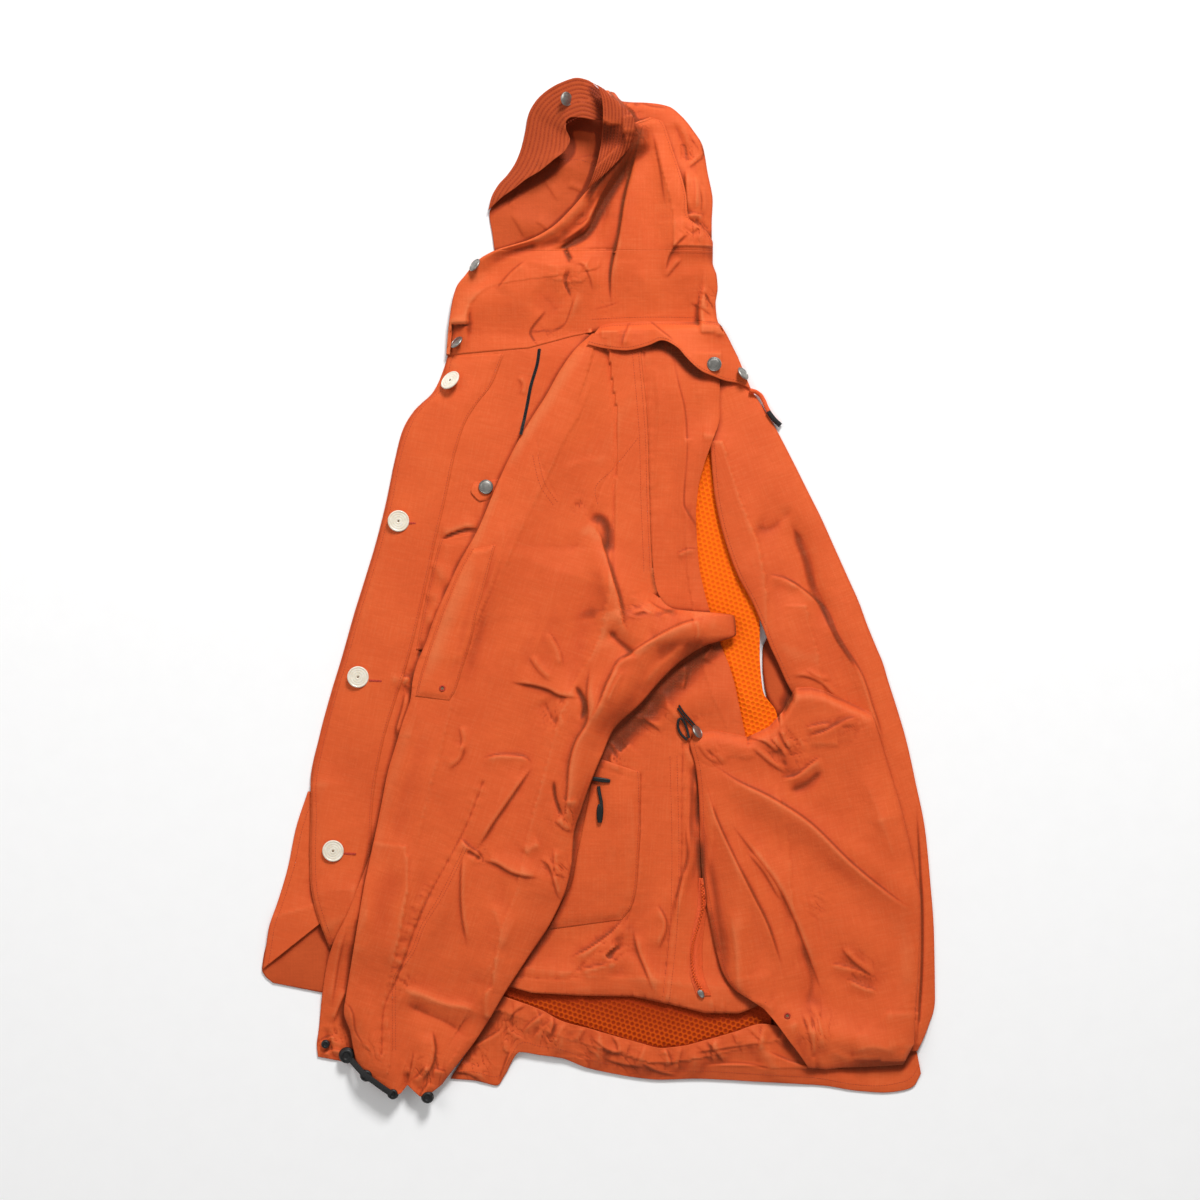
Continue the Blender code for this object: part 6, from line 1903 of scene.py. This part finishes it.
def seat(node, pile):
    """A node's middle on the plan, and the height of the cloth under it, mm."""
    low, high = (np.array(v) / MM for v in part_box(node))
    across, down = (low[0] + high[0]) / 2 + MIDDLE[0], MIDDLE[1] - (low[1] + high[1]) / 2
    return across, down, float(read_map(spread(pile.top, 2), np.array(across), np.array(down)))


def make_buttons(pile):
    radius, thick = BUTTON / 2, BUTTON_THICK
    profile = [(0.02, 0.3), (radius * 0.6, 0.1), (radius * 0.93, 0.5), (radius, 0.4 * thick),
        (radius * 0.985, 0.62 * thick)]
    profile += [(radius * share,
        thick * (0.66 + 0.1 * math.exp(-(((share - 0.9) / 0.05) ** 2)) + 0.03 * math.cos(28 * share)))
                for share in np.linspace(0.95, 0.14, 22)]
    profile += [(radius * 0.09, 0.52 * thick), (0.02, 0.5 * thick)]
    knot = smooth_profile([(0.02, 0.50 * thick), (0.9, 0.52 * thick), (0.85, 0.66 * thick),
        (0.02, 0.72 * thick)], 8)
    for name, lean, towards in BUTTONS:
        across, down, height = seat(name, pile)
        place = (across, down, height + 0.3 * radius * math.sin(math.radians(lean)))
        turned_piece(f"{name}_horn", profile, "horn", place, 64, lean, towards, (name,))
        turned_piece(f"{name}_thread", knot, "eye", place, 12, lean, towards)
    for number, (across, down, length) in enumerate(BUTTONHOLES):
        stations = [(0, 0.2, 0, 0.4), (0.6, 1.0, -0.3, 0.8), (length - 0.6, 1.1, -0.3, 0.8),
            (length, 0.2, 0, 0.4)]
        barred(f"buttonhole_{number + 2}", stations, "hole",
            (across, down, top_of(pile, across, down) - 0.2), 3)


def make_eyelets(pile):
    """Small sewn eyelets: a ring of thread about a dark disc, painted shade for the hole."""
    ring = smooth_profile([(1.7, 0.1), (1.9, 0.7), (2.6, 0.95), (3.1, 0.5), (3.2, 0)], 16)
    for number, (across, down) in enumerate(EYELETS):
        place = (across, down, top_of(pile, across, down) - 0.2)
        turned_piece(f"eyelet_{number}_ring", ring[::-1], "hole", place, 32)
        # The hole: a dark disc, painted shade.
        turned_piece(f"eyelet_{number}_hole", [(1.5, 0.25), (1.0, 0.2), (0.02, 0.2)], "eye", place,
            24)


def make_snaps(pile):
    radius, thick = SNAP / 2, SNAP_THICK
    profile = smooth_profile(
        [(0.02, 0.2), (radius * 0.8, 0.1), (radius, 0.45 * thick), (radius * 0.97, 0.7 * thick),
         (radius * 0.88, 0.86 * thick), (radius * 0.82, 0.7 * thick), (radius * 0.76, 0.78 * thick),
         (radius * 0.5, 0.92 * thick), (0.02, thick)], 40,
    )
    for name, lean, towards in SNAPS:
        across, down, height = seat(name, pile)
        height = height + 0.5 * radius * math.sin(math.radians(lean)) - 0.3
        turned_piece(f"{name}_cap", profile, "steel", (across, down, height), 48, lean, towards,
            (name,))


# ---------------------------------------------------------------- zips
def along_route(route, step=1.5):
    """A route's smooth points with the level directions along it and square to it."""
    line_a, line_d = smooth_line(route, step)
    ta, td = np.gradient(line_a), np.gradient(line_d)
    size = np.hypot(ta, td)
    return line_a, line_d, ta / size, td / size


def zip_tape(pile, name, route, width, finish, nodes):
    """A ribbon over the pile: the route moved sideways by shares of the width, its middle arched."""
    line_a, line_d, ta, td = along_route(route)
    share = np.linspace(-0.5, 0.5, 9)
    a = line_a[:, None] - td[:, None] * share * width
    d = line_d[:, None] + ta[:, None] * share * width
    h = read_map(spread(pile.top, 1), a, d).mean(1, keepdims=True) + 0.5 - 1.6 * abs(share) ** 2
    thing = mesh_object(name, to_world(a, d, h), grid_quads(len(a) - 1, 8))
    return finish_piece(thing, finish, *nodes)


def zip_teeth(pile, name, route, pitch, reach, finish):
    """Two rows of interlocking teeth: blocks tapered to the top, left and right by turns."""
    line_a, line_d, ta, td = along_route(route, pitch)
    way = np.where(np.arange(len(line_a)) % 2, 1.0, -1.0)
    a, d = line_a - td * way * 0.35 * reach, line_d + ta * way * 0.35 * reach
    top = read_map(spread(pile.top, 1), a, d) + 0.4
    corners = np.array([(x * t, y * t, z) for z, t in ((0, 1.0), (0.75, 0.72)) for x,
        y in ((-1, -1), (1, -1), (1, 1), (-1, 1))])
    x, y, z = corners.T
    x, y = x * 0.40 * pitch, y * 0.5 * reach
    px = a[:, None] + ta[:, None] * x - td[:, None] * y
    py = d[:, None] + td[:, None] * x + ta[:, None] * y
    points = to_world(px, py, top[:, None] + z)
    faces = np.array([(4, 7, 6, 5), (0, 4, 5, 1), (1, 5, 6, 2), (2, 6, 7, 3), (3, 7, 4, 0),
        (0, 1, 2, 3)])
    quads = (faces[None] + 8 * np.arange(len(a))[:, None, None]).reshape(-1, 4)
    return finish_piece(mesh_object(name, points, quads, False), finish)


def barred(name, stations, finish, place, turn, nodes=()):
    """A body carried along a level line: rounded cross-sections, each (along, half width, low, high).

    A cross-section is the curve |x|^3 + |z|^3 = 1, stretched to its half width and height.
    """
    angle = np.linspace(0, 2 * np.pi, 28, endpoint=False)
    round_x = np.sign(np.cos(angle)) * abs(np.cos(angle)) ** (2 / 3)
    round_z = np.sign(np.sin(angle)) * abs(np.sin(angle)) ** (2 / 3)
    table = smooth_through(stations, np.linspace(0, len(stations) - 1, 6 * len(stations)))
    run, half, low, high = (v[:, None] for v in table.T)
    x, y = run + 0 * round_x, half * round_x
    z = (low + high) / 2 + (high - low) / 2 * round_z
    c, t = math.cos(math.radians(turn)), math.sin(math.radians(turn))
    across, down, base = place
    points = to_world(across + x * c - y * t, down + x * t + y * c, base + z)
    thing = mesh_object(name, points, grid_quads(len(table) - 1, 28, True))
    return finish_piece(thing, finish, *nodes)


SLIDER = [(-4.5, 0.3, 1.4, 1.6), (-4.2, 1.8, 0.5, 2.4), (-2.5, 2.7, 0.1, 3.0), (0, 3.0, 0, 3.2),
    (2.6, 2.2, 0.1, 3.0), (4.2, 1.5, 0.5, 2.4), (4.5, 0.3, 1.4, 1.6)]
BAR = [(-9.5, 0.2, 1.4, 1.6), (-9.2, 1.4, 0.4, 2.6), (-6, 2.1, 0.1, 3.2), (0, 2.4, 0, 3.8),
    (6, 2.1, 0.1, 3.2), (9.2, 1.4, 0.4, 2.6), (9.5, 0.2, 1.4, 1.6)]
GRIP = [(-9.5, 0.3, 1.6, 1.9), (-9.2, 2.0, 0.7, 2.9), (-7, 3.0, 0.2, 3.6), (-2, 3.4, 0, 3.8),
    (5, 3.0, 0.1, 3.6), (9.2, 1.8, 0.7, 2.9), (9.5, 0.3, 1.6, 1.9)]


def make_zips(pile):
    zip_tape(pile, "chest_zip_tape", CHEST_ZIP, 3.2, "braid", ("chest_zip",))
    zip_teeth(pile, "chest_zip_teeth", CHEST_ZIP, 1.25, 1.1, "black")
    zip_teeth(pile, "game_bag_zip_teeth", BAG_ZIP, 1.5, 1.7, "teeth")
    across, down, top = seat("pocket_zip_head", pile)
    barred("pocket_zip_head_bar", BAR, "black", (across, down, top - 0.4), 8, ("pocket_zip_head",))
    barred("pocket_zip_grip", GRIP, "black", (600, 813, top_of(pile, 600, 813)), 92)
    across, down, top = seat("bag_zip_head", pile)
    barred("bag_zip_head_slider", SLIDER, "steel", (701, 993.5, top), 60, ("bag_zip_head",))


def top_of(pile, across, down):
    """Height of the cloth at one place on the plan, mm."""
    return float(read_map(spread(pile.top, 2), np.array(float(across)), np.array(float(down))))


# ---------------------------------------------------------------- cords and their ends
def cord_curve(name, points, thickness, finish, nodes):
    """A round cord on one smooth open line through its route, in metres."""
    curve = bpy.data.curves.new(name, "CURVE")
    curve.dimensions = "3D"
    curve.bevel_depth = 0.5 * thickness * MM
    curve.bevel_resolution = 4
    curve.use_fill_caps = True
    line = curve.splines.new("POLY")
    line.points.add(len(points) - 1)
    line.points.foreach_set("co", np.column_stack([points, np.ones(len(points))]).ravel())
    thing = bpy.data.objects.new(name, curve)
    bpy.context.scene.collection.objects.link(thing)
    return finish_piece(thing, finish, *nodes)


def lay_route(route, pile, thickness):
    """The route's smooth points in world metres, lying on the cloth or the floor below it."""
    spots = catmull(np.array(route, float), np.linspace(0, len(route) - 1, 8 * len(route)))
    top = read_map(spread(pile.top, 2), spots[:, 0], spots[:, 1])
    for _ in range(3):
        top = np.convolve(np.pad(top, 4, mode="edge"), np.ones(9) / 9, "valid")
    return to_world(spots[:, 0], spots[:, 1], np.maximum(top, 0.3) + thickness / 2 + 0.2)


def strap(name, points, width, high, finish, nodes):
    """A flat ribbed strap: rings of the curve |x|^3 + |z|^3 = 1, square to the route, rippling in width."""
    run = np.concatenate([[0], np.cumsum(np.linalg.norm(np.diff(points, axis=0), axis=1))])
    even = np.linspace(0, run[-1], int(run[-1] / (0.5 * MM)))
    path = np.stack([np.interp(even, run, points[:, k]) for k in range(3)], -1)
    along = np.gradient(path, axis=0)
    along /= np.linalg.norm(along, axis=1, keepdims=True)
    side = np.cross(along, (0, 0, 1.0))
    side /= np.linalg.norm(side, axis=1, keepdims=True)
    up = np.cross(side, along)
    angle = np.linspace(0, 2 * np.pi, 24, endpoint=False)
    x = np.sign(np.cos(angle)) * abs(np.cos(angle)) ** (2 / 3) * 0.5 * width * MM
    z = np.sign(np.sin(angle)) * abs(np.sin(angle)) ** (2 / 3) * 0.5 * high * MM
    rib = (1 + 0.05 * np.cos(2 * np.pi * even / (2.4 * MM)))[:, None, None]
    rings = path[:, None] + rib * (side[:, None] * x[:, None] + up[:, None] * z[:, None])
    ends = np.repeat(path[[0, -1], None], len(angle), 1)
    rings = np.concatenate([ends[:1], rings, ends[1:]])
    thing = mesh_object(name, rings, grid_quads(len(rings) - 1, len(angle), True)[:, ::-1])
    return finish_piece(thing, finish, *nodes), path


LOCK = [(0.02, 0), (0.7, 0.02), (0.95, 0.18), (1.0, 0.4), (0.9, 0.56), (0.74, 0.6), (0.76, 0.68),
    (0.86, 0.74), (0.8, 0.92),
        (0.5, 1.0), (0.38, 0.9), (0.02, 0.88)]


def lock_piece(name, across, down, radius, high, base, nodes=()):
    """A moulded cord lock: a round body, a waist, and a cap with a dished top."""
    profile = smooth_profile([(r * radius, h * high) for r, h in LOCK], 40)
    return turned_piece(name, np.maximum(profile, (0.02, 0)), "black", (across, down, base), 40,
        nodes=nodes)


def make_cords(pile):
    top, ends = spread(pile.top, 2), []
    for name, across, down, radius, height in CORD_LOCKS:
        base = float(read_map(top, np.array(float(across)), np.array(float(down))))
        node = name.removesuffix("_cap")
        ends.append(lock_piece(name, across, down, radius, height, max(0.6 * base, 0.3),
            (node,) if node != name else ()))
    for name, kind, thickness, route in CORDS:
        points = lay_route(route, pile, thickness)
        finish = "braid" if kind == "black" else "tape"
        if name == "cuff_cord":
            thing, path = strap(f"{name}_strap", points, thickness, STRAP_HEIGHT, finish, (name,))
            continue
        thing = cord_curve(f"{name}_braid", points, thickness, finish, (name,))


# ---------------------------------------------------------------- build
def build():
    make_finishes()
    set_stage()
    pile = Pile()
    cloth_floor_layers(pile)
    cloth_net(pile)
    cloth_body(pile)
    cloth_sleeve(pile)
    cloth_hood(pile)
    make_buttons(pile)
    make_snaps(pile)
    make_eyelets(pile)
    make_zips(pile)
    make_cords(pile)
    shade_hollows(pile)
    make_stitches("jacket_stitches", "thread")


build()
